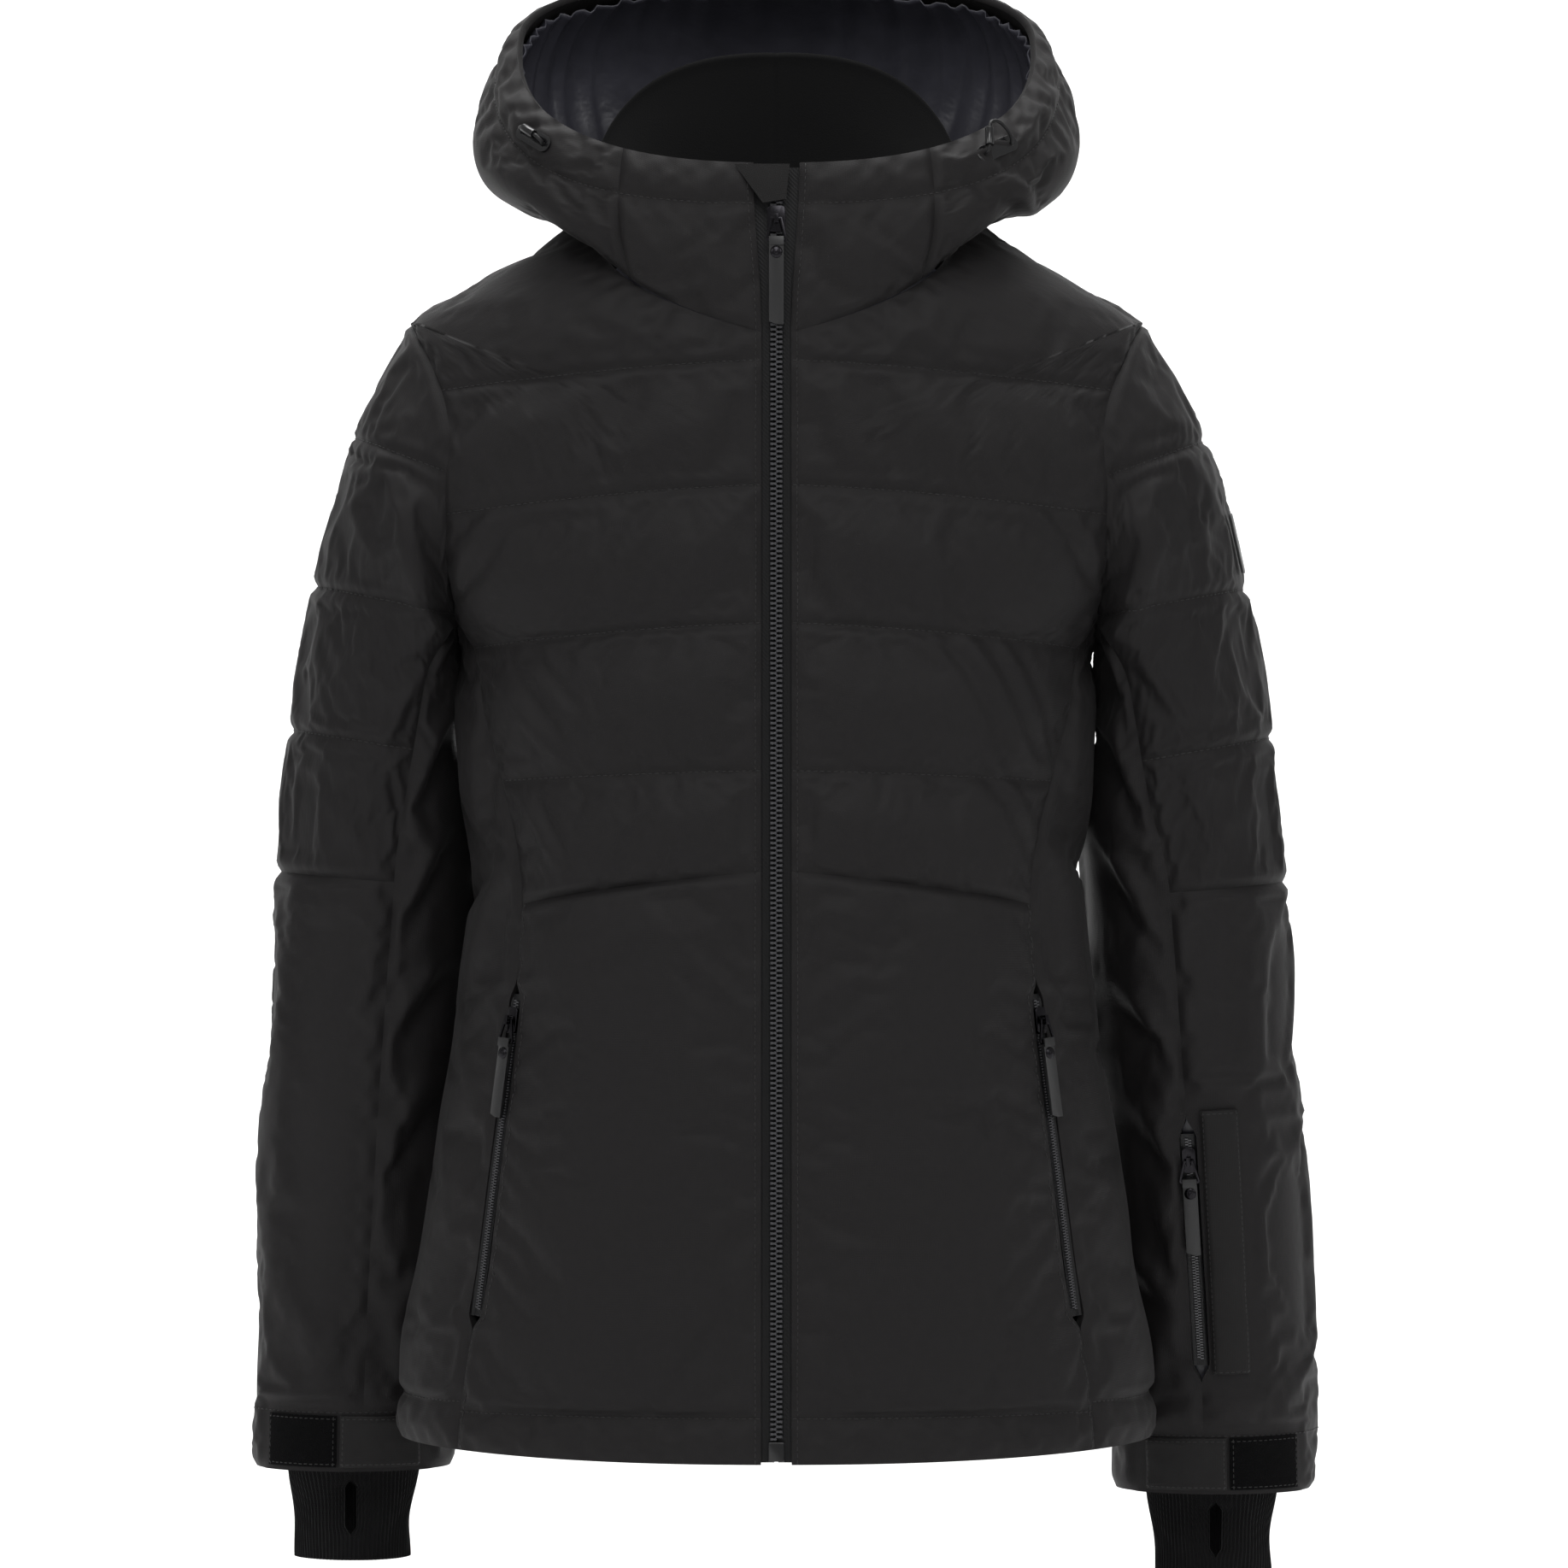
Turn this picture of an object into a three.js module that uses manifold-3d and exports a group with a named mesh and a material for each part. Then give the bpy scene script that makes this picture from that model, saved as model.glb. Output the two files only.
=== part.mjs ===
// A hooded ski jacket, closed at the front and hanging from its neck loop.
// Millimetres. +X is the wearer's left, -Y the front, +Z up. The origin is the middle of the hanger loop.
import * as THREE from "three";
import { mergeVertices } from "three/addons/utils/BufferGeometryUtils.js";
import Module from "manifold-3d";

const wasm = await Module();
wasm.setup();

// ---- Body sizes
const HEM_HEIGHT = 12; // the front hem, above the datum that heights are counted from
const HIP_HEIGHT = 123;
const WAIST_PEAK = 18; // how much that seam rises to the zip
const CHEST_BELOW_ARM = 45; // the chest is narrowest this far under the armhole
const SHOULDER_HEIGHT = 611;
const WAIST_BELOW_SHOULDER = 309; // the seam that joins the quilted chest to the plain skirt
const ARMHOLE_DEPTH = 166;
const ARMHOLE_BREADTH = 152;
const SHOULDER_RISE = 58; // from the shoulder tip to the side of the neck
const NECK_SCOOP = 70; // how far the neckline drops at the front
const HEM_WIDTH = 404;
const HIP_TAPER = 36; // the hips are this much narrower than the hem
const WAIST_WIDTH = 320;
const CHEST_WIDTH = 336;
const SHOULDER_WIDTH = 392;
const ARM_ROUND = 35; // the body's round goes on under the armhole, this far past the shoulder tip
const NECK_WIDTH = 218;
const FRONT_DEPTH = 128; // from the side line forwards, at the datum
const FRONT_LEAN = 23 / 700; // the zip leans back by this slope
const BACK_DEPTH = 100;
const NECK_BACK_DEPTH = 74;
const HEM_DROP_SIDE = 6; // the hem is this much higher at the sides

// ---- Hood sizes
const COLLAR_HEIGHT = 90;
const RIM_WIDTH = 280;
const RIM_SETBACK = 0.36; // the front of the rim, behind the line of the zip
const RIM_BACK = 68;
const RIM_CENTRE = 12;
const RIM_SLOPE = 0.64;
const HOOD_SIDE_PUSH = 46;
const HOOD_BACK_PUSH = 78;
const HOOD_BACK_FALL = 30;
const HOOD_BACK_ROUND = 110;
const COLLAR_SEAM = 31; // degrees round the neck from the zip to the collar's upright seam

// ---- Sleeve sizes
const SLEEVE_DROP = 617; // from the shoulder tip down to the cuff's edge
const SLEEVE_SPREAD = 92; // how far outside the shoulder tip the cuff's outer edge hangs
const CUFF_OUTSIDE = 86; // from the side of the hem out to the cuff's outer edge
const SLEEVE_WIDTH = 108;
const SLEEVE_BACK = 78; // how far behind the side line the cuff hangs
const ELBOW_BREADTH = 120;
const CUFF_BREADTH = 98;
const UNDERARM_GAP = 3.5;
const HANG_LOWER = { left: 12, right: 0 }; // one sleeve hangs a little lower and further out
const HANG_OUTER = { left: 4, right: -3 };

// ---- Cloth and gaps
const SHELL = 6; // quilted shell with its wadding
const HOOD_SHELL = 5;
const SEAM_GAP = 0.6; // from a panel's edge to the seam line
const GAP = 0.3;
const LIFT = 0.9; // under trim that lies on a curved panel
const LINING = 1.2;
const LINING_DEPTH = 14;
const LINING_ROOM = 3;
const BAG_DEPTH = 9.6;
const BAG = 2.4;

// ---- Zips
const ZIP_OPENING = 16; // between the two front edges
const TAPE_WIDTH = 14;
const TAPE = 0.8;
const TAPE_DEPTH = 7.4;
const TOOTH_WIDTH = 2.4;
const TOOTH_DEPTH = 3.8;
const CHAIN_SLOT = 1.6;
const CHAIN_BOTTOM = 24;
const SLIDER_BELOW_RIM = 29; // the closed main slider, under the top of the zip
const SLIDER_WIDTH = 9.6;
const POCKET_SLIDER_WIDTH = 7.6;
const SLIDER_LENGTH = 14;
const PLATE = 1.5;
const POST_WIDTH = 0.9;
const BRIDGE_WIDTH = 2.2;
const BRIDGE_RISE = 4.2;
const WIRE = 1.2;
const LINK_LENGTH = 12;
const TAB_WIDTH = 7.7;
const TAB = 2;
const MAIN_TAB_LENGTH = 44;
const POCKET_TAB_LENGTH = 40;
const BOX_LENGTH = 10;
const POCKET_TOP = 255;
const POCKET_BOTTOM = 86;
const POCKET_OPENING = 9.2;
const STRIP_DEPTH = 2.4;
const STRIP = 1.6;

// ---- Trim
const WELT_WIDTH = 20;
const WELT = 3;
const BADGE_LENGTH = 33;
const BADGE_WIDTH = 10;
const BADGE = 1.4;
const GAITER_LENGTH = 50;
const GAITER_EASE = 45; // the gaiter is this much narrower than the sleeve
const GAITER_EASE_DEEP = 42; // and this much shallower than the cuff, front to back
const GAITER_WIDTH = SLEEVE_WIDTH - GAITER_EASE;
const GAITER_BREADTH = CUFF_BREADTH - GAITER_EASE_DEEP;
const GAITER = 1.5;
const THUMB_SLIT = [8, 26];
const TAB_STRAP = [46, 27, 2];
const PATCH = 1.4;
const LOOP_STRAP = [64, 8, 1.4];
const LOOP_BOW = 7;
const CORD = 2;
const EYELET_SPAN = 19.6;
const EYELET_HOLE = 3.2;
const LOCK_LENGTH = 10;
const LOCK_WIDTH = 4.6;

// ---- Curves
const { degToRad, radToDeg, lerp, clamp } = THREE.MathUtils;
const vec = (x, y, z) => new THREE.Vector3(x, y, z);

// A smooth curve through [place, value] points, level at both ends unless it is to run on.
function through(points, runsOn = false) {
  const slope = points.map((p, i) => {
    const before = points[i - 1] ?? p;
    const after = points[i + 1] ?? p;
    const level = before === p || after === p;
    return level && !runsOn ? 0 : (after[1] - before[1]) / (after[0] - before[0]);
  });
  return (at) => {
    const s = clamp(at, points[0][0], points.at(-1)[0]);
    let i = 0;
    while (i < points.length - 2 && s > points[i + 1][0]) i += 1;
    const wide = points[i + 1][0] - points[i][0];
    const t = (s - points[i][0]) / wide;
    const t2 = t * t;
    const t3 = t2 * t;
    return (
      points[i][1] * (2 * t3 - 3 * t2 + 1) +
      points[i + 1][1] * (3 * t2 - 2 * t3) +
      wide * (slope[i] * (t3 - 2 * t2 + t) + slope[i + 1] * (t3 - t2))
    );
  };
}

// Joins curves end to end, each taking its share of the rows.
function joined(rows, curves) {
  const total = rows.reduce((sum, n) => sum + n, 0);
  return (v) => {
    let at = v * total;
    let i = 0;
    while (i < rows.length - 1 && at > rows[i]) {
      at -= rows[i];
      i += 1;
    }
    return curves[i](Math.min(1, at / rows[i]));
  };
}

// ---- The body's surface
const UNDERARM = SHOULDER_HEIGHT - ARMHOLE_DEPTH;
const WAIST_HEIGHT = SHOULDER_HEIGHT - WAIST_BELOW_SHOULDER;
const NECK_HEIGHT = SHOULDER_HEIGHT + SHOULDER_RISE;
const COLLAR_BASE = NECK_HEIGHT - NECK_SCOOP;
const ARM_MIDDLE = SHOULDER_HEIGHT - ARMHOLE_DEPTH / 2;
const onArmhole = (share) => UNDERARM + ARMHOLE_DEPTH * share;
// How much further out the hem pushes the cuff than the sleeve spreads by itself.
const CUFF_PUSH = (HEM_WIDTH - SHOULDER_WIDTH) / 2 + CUFF_OUTSIDE - SLEEVE_SPREAD;

const halfWidth = through([
  [HEM_HEIGHT, HEM_WIDTH / 2],
  [HIP_HEIGHT, (HEM_WIDTH - HIP_TAPER) / 2],
  [WAIST_HEIGHT, WAIST_WIDTH / 2],
  [UNDERARM - CHEST_BELOW_ARM, CHEST_WIDTH / 2 - 1],
  [UNDERARM, CHEST_WIDTH / 2 + 2],
  [onArmhole(0.3), SHOULDER_WIDTH / 2 + 0.4 * ARM_ROUND],
  [onArmhole(0.51), SHOULDER_WIDTH / 2 + ARM_ROUND],
  [onArmhole(0.8), SHOULDER_WIDTH / 2 + 0.75 * ARM_ROUND],
  [SHOULDER_HEIGHT, SHOULDER_WIDTH / 2],
  [NECK_HEIGHT, NECK_WIDTH / 2],
]);
const frontDepth = (z) => FRONT_DEPTH - FRONT_LEAN * z;
const backDepth = through([
  [HEM_HEIGHT, BACK_DEPTH + 2],
  [WAIST_HEIGHT, BACK_DEPTH - 10],
  [ARM_MIDDLE, BACK_DEPTH + 6],
  [SHOULDER_HEIGHT, BACK_DEPTH - 5],
  [NECK_HEIGHT, NECK_BACK_DEPTH],
]);
const roundness = through([
  [HEM_HEIGHT, 2.3],
  [UNDERARM, 2.4],
  [SHOULDER_HEIGHT, 1.75],
  [NECK_HEIGHT, 1.7],
]);

// A ring of the given half sizes: 0 degrees is the front, 90 the wearer's left side, 180 the back.
function ring(angle, half, front, back, power) {
  const s = Math.sin(degToRad(angle));
  const c = Math.cos(degToRad(angle));
  const depth = c > 0 ? front : back;
  return [
    Math.sign(s) * half * Math.abs(s) ** (2 / power),
    -Math.sign(c) * depth * Math.abs(c) ** (2 / power),
  ];
}

function bodyPoint(angle, z) {
  const [x, y] = ring(angle, halfWidth(z), frontDepth(z), backDepth(z), roundness(z));
  return vec(x, y, z);
}

// ---- Seams on the body, as [angle, height]
const angleAtX = (x, z) => radToDeg(Math.asin((x / halfWidth(z)) ** (roundness(z) / 2)));
const zipLine = (z) => [angleAtX(ZIP_OPENING / 2, z), z];

function armholeAt(turn) {
  const z = ARM_MIDDLE + (ARMHOLE_DEPTH / 2) * Math.cos(degToRad(turn));
  const y = (ARMHOLE_BREADTH / 2) * Math.sin(degToRad(turn));
  const depth = y < 0 ? frontDepth(z) : backDepth(z);
  const angle = radToDeg(Math.acos((Math.abs(y) / depth) ** (roundness(z) / 2)));
  return [y < 0 ? angle : 180 - angle, z];
}

const UNDER_TURN = 155; // the side seams meet the armhole this far round from its top
const PRINCESS = 54; // degrees from the zip to the front side seam
const SIDE_BACK = 118;
const hemHeight = (angle) => HEM_HEIGHT + HEM_DROP_SIDE * Math.sin(degToRad(angle)) ** 2;
const waistHeight = (angle) => {
  const away = Math.min(1, Math.min(angle, 360 - angle) / PRINCESS);
  return WAIST_HEIGHT + WAIST_PEAK * (1 - away);
};
const neckHeight = (angle) =>
  COLLAR_BASE + NECK_SCOOP * (angle < 90 ? Math.sin(degToRad(angle)) ** 1.3 : 1);

function sideSeam(low, turn) {
  const [topAngle, topZ] = armholeAt(turn);
  return (v) => {
    const z = lerp(WAIST_HEIGHT, topZ, v);
    return [lerp(low, topAngle, v ** 1.6), z];
  };
}
const princessUpper = sideSeam(PRINCESS, -UNDER_TURN);
const backSeamUpper = sideSeam(SIDE_BACK, UNDER_TURN);
const lowerSeam = (angle) => (v) => [angle, lerp(hemHeight(angle), waistHeight(angle), v)];
const armArc = (from, to) => (v) => armholeAt(lerp(from, to, v));
const shoulderSeam = (v) => [90, lerp(SHOULDER_HEIGHT, NECK_HEIGHT, v)];

const UNDER_ROWS = 4;
const ARM_ROWS = 6;
const SHOULDER_ROWS = 2;
const LOWER_ROWS = 7;
const SIDE_COLUMNS = 5;
const CHEST_ROWS = UNDER_ROWS + ARM_ROWS + SHOULDER_ROWS;

// ---- Solids
// A closed body from a geometry, turned so that its faces point out.
function closed(geometry) {
  const bare = new THREE.BufferGeometry();
  bare.setAttribute("position", geometry.getAttribute("position"));
  bare.setIndex(geometry.index);
  const merged = mergeVertices(bare, 1e-4);
  const index = merged.index.array;
  const p = merged.attributes.position;
  const corner = [vec(0, 0, 0), vec(0, 0, 0), vec(0, 0, 0)];
  let volume = 0;
  for (let i = 0; i < index.length; i += 3) {
    corner.forEach((c, k) => c.fromBufferAttribute(p, index[i + k]));
    volume += corner[0].dot(corner[1].cross(corner[2]));
  }
  if (volume < 0) {
    for (let i = 0; i < index.length; i += 3) {
      [index[i + 1], index[i + 2]] = [index[i + 2], index[i + 1]];
    }
  }
  return merged;
}

function solid(geometry) {
  const g = closed(geometry);
  const mesh = new wasm.Mesh({
    numProp: 3,
    vertProperties: g.attributes.position.array,
    triVerts: new Uint32Array(g.index.array),
  });
  return new wasm.Manifold(mesh);
}

function fromSolid(made) {
  const mesh = made.getMesh();
  const g = new THREE.BufferGeometry();
  g.setAttribute("position", new THREE.BufferAttribute(mesh.vertProperties, 3));
  g.setIndex(new THREE.BufferAttribute(mesh.triVerts, 1));
  return g;
}

const cut = (geometry, ...tools) =>
  fromSolid(tools.reduce((left, tool) => left.subtract(solid(tool)), solid(geometry)));
const join = (geometry, ...others) =>
  fromSolid(others.reduce((whole, other) => whole.add(solid(other)), solid(geometry)));

// The outward direction of a surface of two values, from its slopes.
function outward(surface, a, b, side) {
  const step = 0.05;
  const da = surface(a + step, b).sub(surface(a - step, b));
  const db = surface(a, b + step).sub(surface(a, b - step));
  return da.cross(db).normalize().multiplyScalar(side);
}

// A panel with an outer and an inner skin. place(u, v) gives the surface's two values, near and far the
// depths of the skins under the surface, side +1 or -1 the way the surface faces, and facing(a, b) the
// direction across the panel where it isn't the surface's own.
function panel({ surface, place, columns, rows, near = 0, far, side = 1, gap = SEAM_GAP, facing }) {
  const out = facing ?? ((a, b) => outward(surface, a, b, side));
  const at = (u, v) => surface(...place(u, v));
  const across = at(0, 0.5).distanceTo(at(0.5, 0.5)) + at(0.5, 0.5).distanceTo(at(1, 0.5));
  const along = at(0.5, 0).distanceTo(at(0.5, 0.5)) + at(0.5, 0.5).distanceTo(at(0.5, 1));
  const box = new THREE.BoxGeometry(1, 1, 1, columns, rows, 1);
  const p = box.attributes.position;
  for (let i = 0; i < p.count; i += 1) {
    const u = lerp(gap / across, 1 - gap / across, p.getX(i) + 0.5);
    const v = lerp(gap / along, 1 - gap / along, p.getY(i) + 0.5);
    const [a, b] = place(u, v);
    const depth = p.getZ(i) > 0 ? near : far;
    const point = surface(a, b).addScaledVector(out(a, b), -depth);
    p.setXYZ(i, point.x, point.y, point.z);
  }
  return closed(box);
}

// Fills the patch between four edges, each given as [angle, height] along it.
function between(left, right, bottom, top) {
  const mix = (p, q, t) => [lerp(p[0], q[0], t), lerp(p[1], q[1], t)];
  return (u, v) => {
    const sides = mix(left(v), right(v), u);
    const ends = mix(bottom(u), top(u), v);
    const corners = mix(mix(left(0), right(0), u), mix(left(1), right(1), u), v);
    return [sides[0] + ends[0] - corners[0], sides[1] + ends[1] - corners[1]];
  };
}

// An edge that keeps a height rule while its angle goes from one end to the other.
const edge = (from, to, height) => (u) => {
  const angle = lerp(from, to, u);
  return [angle, height(angle)];
};

const mirrored = (surface, side) => (a, b) => {
  const p = surface(a, b);
  return vec(side * p.x, p.y, p.z);
};

function block(x0, x1, y0, y1, z0, z1) {
  const g = new THREE.BoxGeometry(x1 - x0, y1 - y0, z1 - z0);
  return g.translate((x0 + x1) / 2, (y0 + y1) / 2, (z0 + z1) / 2);
}

// ---- Materials
function cloth(colour, roughness) {
  return new THREE.MeshStandardMaterial({ color: colour, roughness, metalness: 0 });
}
const shellCloth = cloth(0x2a2a2c, 0.72);
const liningCloth = cloth(0x232327, 0.35);
const facingCloth = cloth(0x1b1b1c, 0.9);
const knit = cloth(0x161617, 0.92);
const hookCloth = cloth(0x1d1d1e, 0.95);
const plastic = new THREE.MeshStandardMaterial({ color: 0x18181a, roughness: 0.3, metalness: 0 });
const metal = new THREE.MeshStandardMaterial({ color: 0x3a3a3e, roughness: 0.25, metalness: 1 });
const rubber = new THREE.MeshStandardMaterial({ color: 0x1e1e1f, roughness: 0.6, metalness: 0 });

const jacket = new THREE.Group();
const joints = {};

function addMesh(name, geometry, material, parent = jacket) {
  const mesh = new THREE.Mesh(geometry, material);
  mesh.name = name;
  parent.add(mesh);
  return mesh;
}

// ---- Zips, each in a group: x across, y into the body, z up along the teeth
function zipGroup(bottom, top, inward) {
  const up = top.clone().sub(bottom).normalize();
  const x = inward.clone().cross(up).normalize();
  const y = up.clone().cross(x);
  const group = new THREE.Group();
  group.applyMatrix4(new THREE.Matrix4().makeBasis(x, y, up).setPosition(bottom));
  jacket.add(group);
  group.userData.length = top.distanceTo(bottom);
  return group;
}

function roundedPlate(width, length, radius) {
  const w = width / 2;
  const l = length / 2;
  const s = new THREE.Shape();
  s.moveTo(-w + radius, -l);
  s.lineTo(w - radius, -l);
  s.absarc(w - radius, -l + radius, radius, -Math.PI / 2, 0);
  s.absarc(w - radius, l - radius, radius, 0, Math.PI / 2);
  s.absarc(-w + radius, l - radius, radius, Math.PI / 2, Math.PI);
  s.absarc(-w + radius, -l + radius, radius, Math.PI, 1.5 * Math.PI);
  return s;
}

// A flat shape drawn in x and z, with its thickness from y0 to y1.
function flat(shape, y0, y1, curveSegments = 3) {
  const g = new THREE.ExtrudeGeometry(shape, { depth: y1 - y0, bevelEnabled: false, curveSegments });
  return g.rotateX(Math.PI / 2).translate(0, y1, 0);
}

// A slider whose front plate starts at y = front, round teeth that end at y = back.
function sliderBody(width, front, teeth, back) {
  const outline = roundedPlate(width, SLIDER_LENGTH, 2.4);
  const face = flat(outline, front, teeth - GAP);
  const rear = flat(outline, back + GAP, back + GAP + PLATE);
  const post = block(-POST_WIDTH / 2, POST_WIDTH / 2, front + 0.2, back + 1, 2, 6);
  const arch = block(-BRIDGE_WIDTH / 2, BRIDGE_WIDTH / 2, front - BRIDGE_RISE, front + 0.2, -2.4, 2.4);
  const eye = block(-BRIDGE_WIDTH, BRIDGE_WIDTH, front - 3.2, front - 0.8, -1.2, 1.2);
  return join(cut(arch, eye), face, rear, post);
}

function linkShape() {
  const top = 2.9;
  const foot = TAB_WIDTH / 2 + 1.8;
  const s = new THREE.Shape();
  s.moveTo(-top, WIRE / 2);
  s.lineTo(top, WIRE / 2);
  s.lineTo(foot, -LINK_LENGTH + 1);
  s.lineTo(foot - 1, -LINK_LENGTH);
  s.lineTo(-foot + 1, -LINK_LENGTH);
  s.lineTo(-foot, -LINK_LENGTH + 1);
  s.closePath();
  const h = new THREE.Path();
  h.moveTo(-top + WIRE, -WIRE / 2);
  h.lineTo(-foot + WIRE, -LINK_LENGTH + WIRE);
  h.lineTo(foot - WIRE, -LINK_LENGTH + WIRE);
  h.lineTo(top - WIRE, -WIRE / 2);
  h.closePath();
  s.holes.push(h);
  return s;
}

// The tab hangs on the link's foot, with an eye round it and a slanting end.
function tabBody(length) {
  const eyeZ = -LINK_LENGTH + WIRE / 2;
  const strip = block(-TAB_WIDTH / 2, TAB_WIDTH / 2, -TAB / 2, TAB / 2, eyeZ - length, eyeZ - 0.6);
  const wrap = block(-TAB_WIDTH / 2, TAB_WIDTH / 2, -1.9, 1.9, eyeZ - 2.6, eyeZ + 1.9);
  const eye = block(-TAB_WIDTH, TAB_WIDTH, -0.95, 0.95, eyeZ - 0.95, eyeZ + 0.95);
  const end = block(-TAB_WIDTH, TAB_WIDTH, -TAB, TAB, -6, 0).rotateY(degToRad(22));
  end.translate(0, 0, eyeZ - length);
  return cut(join(strip, wrap), eye, end);
}

// A slider at a height on its zip, with the link and tab that swing from it.
function addPull(group, name, { at, width, front, teeth, back, tabLength }) {
  const slider = addMesh(`${name}_slider`, sliderBody(width, front, teeth, back), metal, group);
  slider.position.set(0, 0, at);
  const pivot = new THREE.Group();
  pivot.position.set(0, front - 2, at);
  group.add(pivot);
  addMesh(`${name}_pull_link`, flat(linkShape(), -WIRE / 2, WIRE / 2), metal, pivot);
  addMesh(`${name}_pull_tab`, tabBody(tabLength), rubber, pivot);
  joints[`${name}_slider`] = { frame: slider };
  joints[`${name}_pull`] = { frame: pivot };
}

const zipBottom = vec(0, -frontDepth(HEM_HEIGHT), HEM_HEIGHT);
const RIM_FRONT_HEIGHT = COLLAR_BASE + COLLAR_HEIGHT;
const zipTop = vec(0, -frontDepth(RIM_FRONT_HEIGHT), RIM_FRONT_HEIGHT);

function addMainZip() {
  const group = zipGroup(zipBottom, zipTop, vec(0, 1, 0));
  const top = group.userData.length - 2;
  const teethBack = TAPE_DEPTH - GAP;
  const teethFront = teethBack - TOOTH_DEPTH;
  const bottom = CHAIN_BOTTOM - HEM_HEIGHT;
  [["right", -1], ["left", 1]].forEach(([word, side]) => {
    const inner = CHAIN_SLOT / 2;
    const tape = block(inner + 0.2, inner + TAPE_WIDTH, TAPE_DEPTH, TAPE_DEPTH + TAPE, 1, top);
    const teeth = block(inner, inner + TOOTH_WIDTH, teethFront, teethBack, bottom, top);
    addMesh(`zip_tape_${word}`, closed(tape.scale(side, 1, 1)), knit, group);
    addMesh(`zip_teeth_${word}`, closed(teeth.scale(side, 1, 1)), plastic, group);
  });
  const box = block(-4.2, 4.2, teethFront - 0.6, teethBack, bottom - BOX_LENGTH - 0.4, bottom - 0.4);
  addMesh("zip_box", box, plastic, group);
  const back = TAPE_DEPTH + TAPE;
  const at = RIM_FRONT_HEIGHT - SLIDER_BELOW_RIM - HEM_HEIGHT;
  addPull(group, "main", {
    at,
    width: SLIDER_WIDTH,
    front: teethFront - GAP - 2,
    teeth: teethFront,
    back,
    tabLength: MAIN_TAB_LENGTH,
  });
  const flap = block(-24, 12, back + PLATE + 2, back + PLATE + 4, 6, top - 6);
  addMesh("storm_flap", flap, shellCloth, group);
  const guard = new THREE.Shape();
  guard.moveTo(-22, top + 1);
  guard.lineTo(7, top + 1);
  guard.lineTo(5, at + SLIDER_LENGTH / 2 + 3);
  guard.lineTo(-7, at + SLIDER_LENGTH / 2 + 1);
  guard.closePath();
  addMesh("zip_garage", flat(guard, -2.2, -0.8), shellCloth, group);
}

const pocketPoint = (side, z) => mirrored(bodyPoint, side)(PRINCESS, z);

// The pocket's zip is one long ring of tape, with the slider's post in its slot.
function pocketStrip(length) {
  const shape = roundedPlate(POCKET_OPENING - 2 * GAP, length, 2);
  const hole = block(-CHAIN_SLOT / 2, CHAIN_SLOT / 2, 0, 10, 6 - length / 2, length / 2 - 3);
  return cut(flat(shape, STRIP_DEPTH, STRIP_DEPTH + STRIP), hole).translate(0, 0, length / 2);
}

const slotTool = (group, reach) => {
  const half = POCKET_OPENING / 2;
  group.updateMatrixWorld(true);
  return block(-half, half, -20, 25, -reach, group.userData.length + reach).applyMatrix4(group.matrix);
};

function addPocketZip(name, group) {
  const length = group.userData.length;
  addMesh(`${name}_zip`, pocketStrip(length), knit, group);
  addPull(group, name, {
    at: length - SLIDER_LENGTH,
    width: POCKET_SLIDER_WIDTH,
    front: 0.5,
    teeth: STRIP_DEPTH,
    back: STRIP_DEPTH + STRIP,
    tabLength: POCKET_TAB_LENGTH,
  });
}

// ---- Body panels
function addBody() {
  const slots = {};
  [["right", -1], ["left", 1]].forEach(([word, side]) => {
    const surface = mirrored(bodyPoint, side);
    const low = pocketPoint(side, POCKET_BOTTOM);
    const high = pocketPoint(side, POCKET_TOP);
    const middle = (POCKET_BOTTOM + POCKET_TOP) / 2;
    const group = zipGroup(low, high, outward(surface, PRINCESS, middle, -side));
    slots[word] = slotTool(group, 2);
    addPocketZip(`pocket_${word}`, group);
    const add = (name, place, columns, rows, ...tools) => {
      const g = panel({ surface, place, columns, rows, far: SHELL, side });
      addMesh(`${name}_${word}`, tools.length ? cut(g, ...tools) : g, shellCloth);
    };
    const zipUpper = (v) => zipLine(lerp(WAIST_HEIGHT + WAIST_PEAK, COLLAR_BASE, v));
    const zipLower = (v) => zipLine(lerp(HEM_HEIGHT, WAIST_HEIGHT + WAIST_PEAK, v));
    const outer = joined(
      [UNDER_ROWS, ARM_ROWS, SHOULDER_ROWS],
      [princessUpper, armArc(-UNDER_TURN, 0), shoulderSeam],
    );
    const chest = between(
      zipUpper,
      outer,
      edge(zipUpper(0)[0], PRINCESS, waistHeight),
      edge(zipUpper(1)[0], 90, neckHeight),
    );
    add("chest", chest, 7, CHEST_ROWS);
    const skirt = between(
      zipLower,
      lowerSeam(PRINCESS),
      edge(zipLower(0)[0], PRINCESS, hemHeight),
      edge(zipLower(1)[0], PRINCESS, waistHeight),
    );
    add("lower_front", skirt, 6, LOWER_ROWS, slots[word]);
    const flank = between(
      joined([LOWER_ROWS, UNDER_ROWS], [lowerSeam(PRINCESS), princessUpper]),
      joined([LOWER_ROWS, UNDER_ROWS], [lowerSeam(SIDE_BACK), backSeamUpper]),
      edge(PRINCESS, SIDE_BACK, hemHeight),
      armArc(-UNDER_TURN, -360 + UNDER_TURN),
    );
    add("side", flank, SIDE_COLUMNS, LOWER_ROWS + UNDER_ROWS, slots[word]);
    const bag = {
      surface,
      place: (u, v) => [lerp(PRINCESS - 22, PRINCESS + 12, u), lerp(POCKET_BOTTOM - 12, POCKET_TOP + 8, v)],
      columns: 4,
      rows: 4,
      side,
      near: BAG_DEPTH,
      far: BAG_DEPTH + BAG,
    };
    addMesh(`pocket_bag_${word}`, panel(bag), liningCloth);
  });
}

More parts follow.
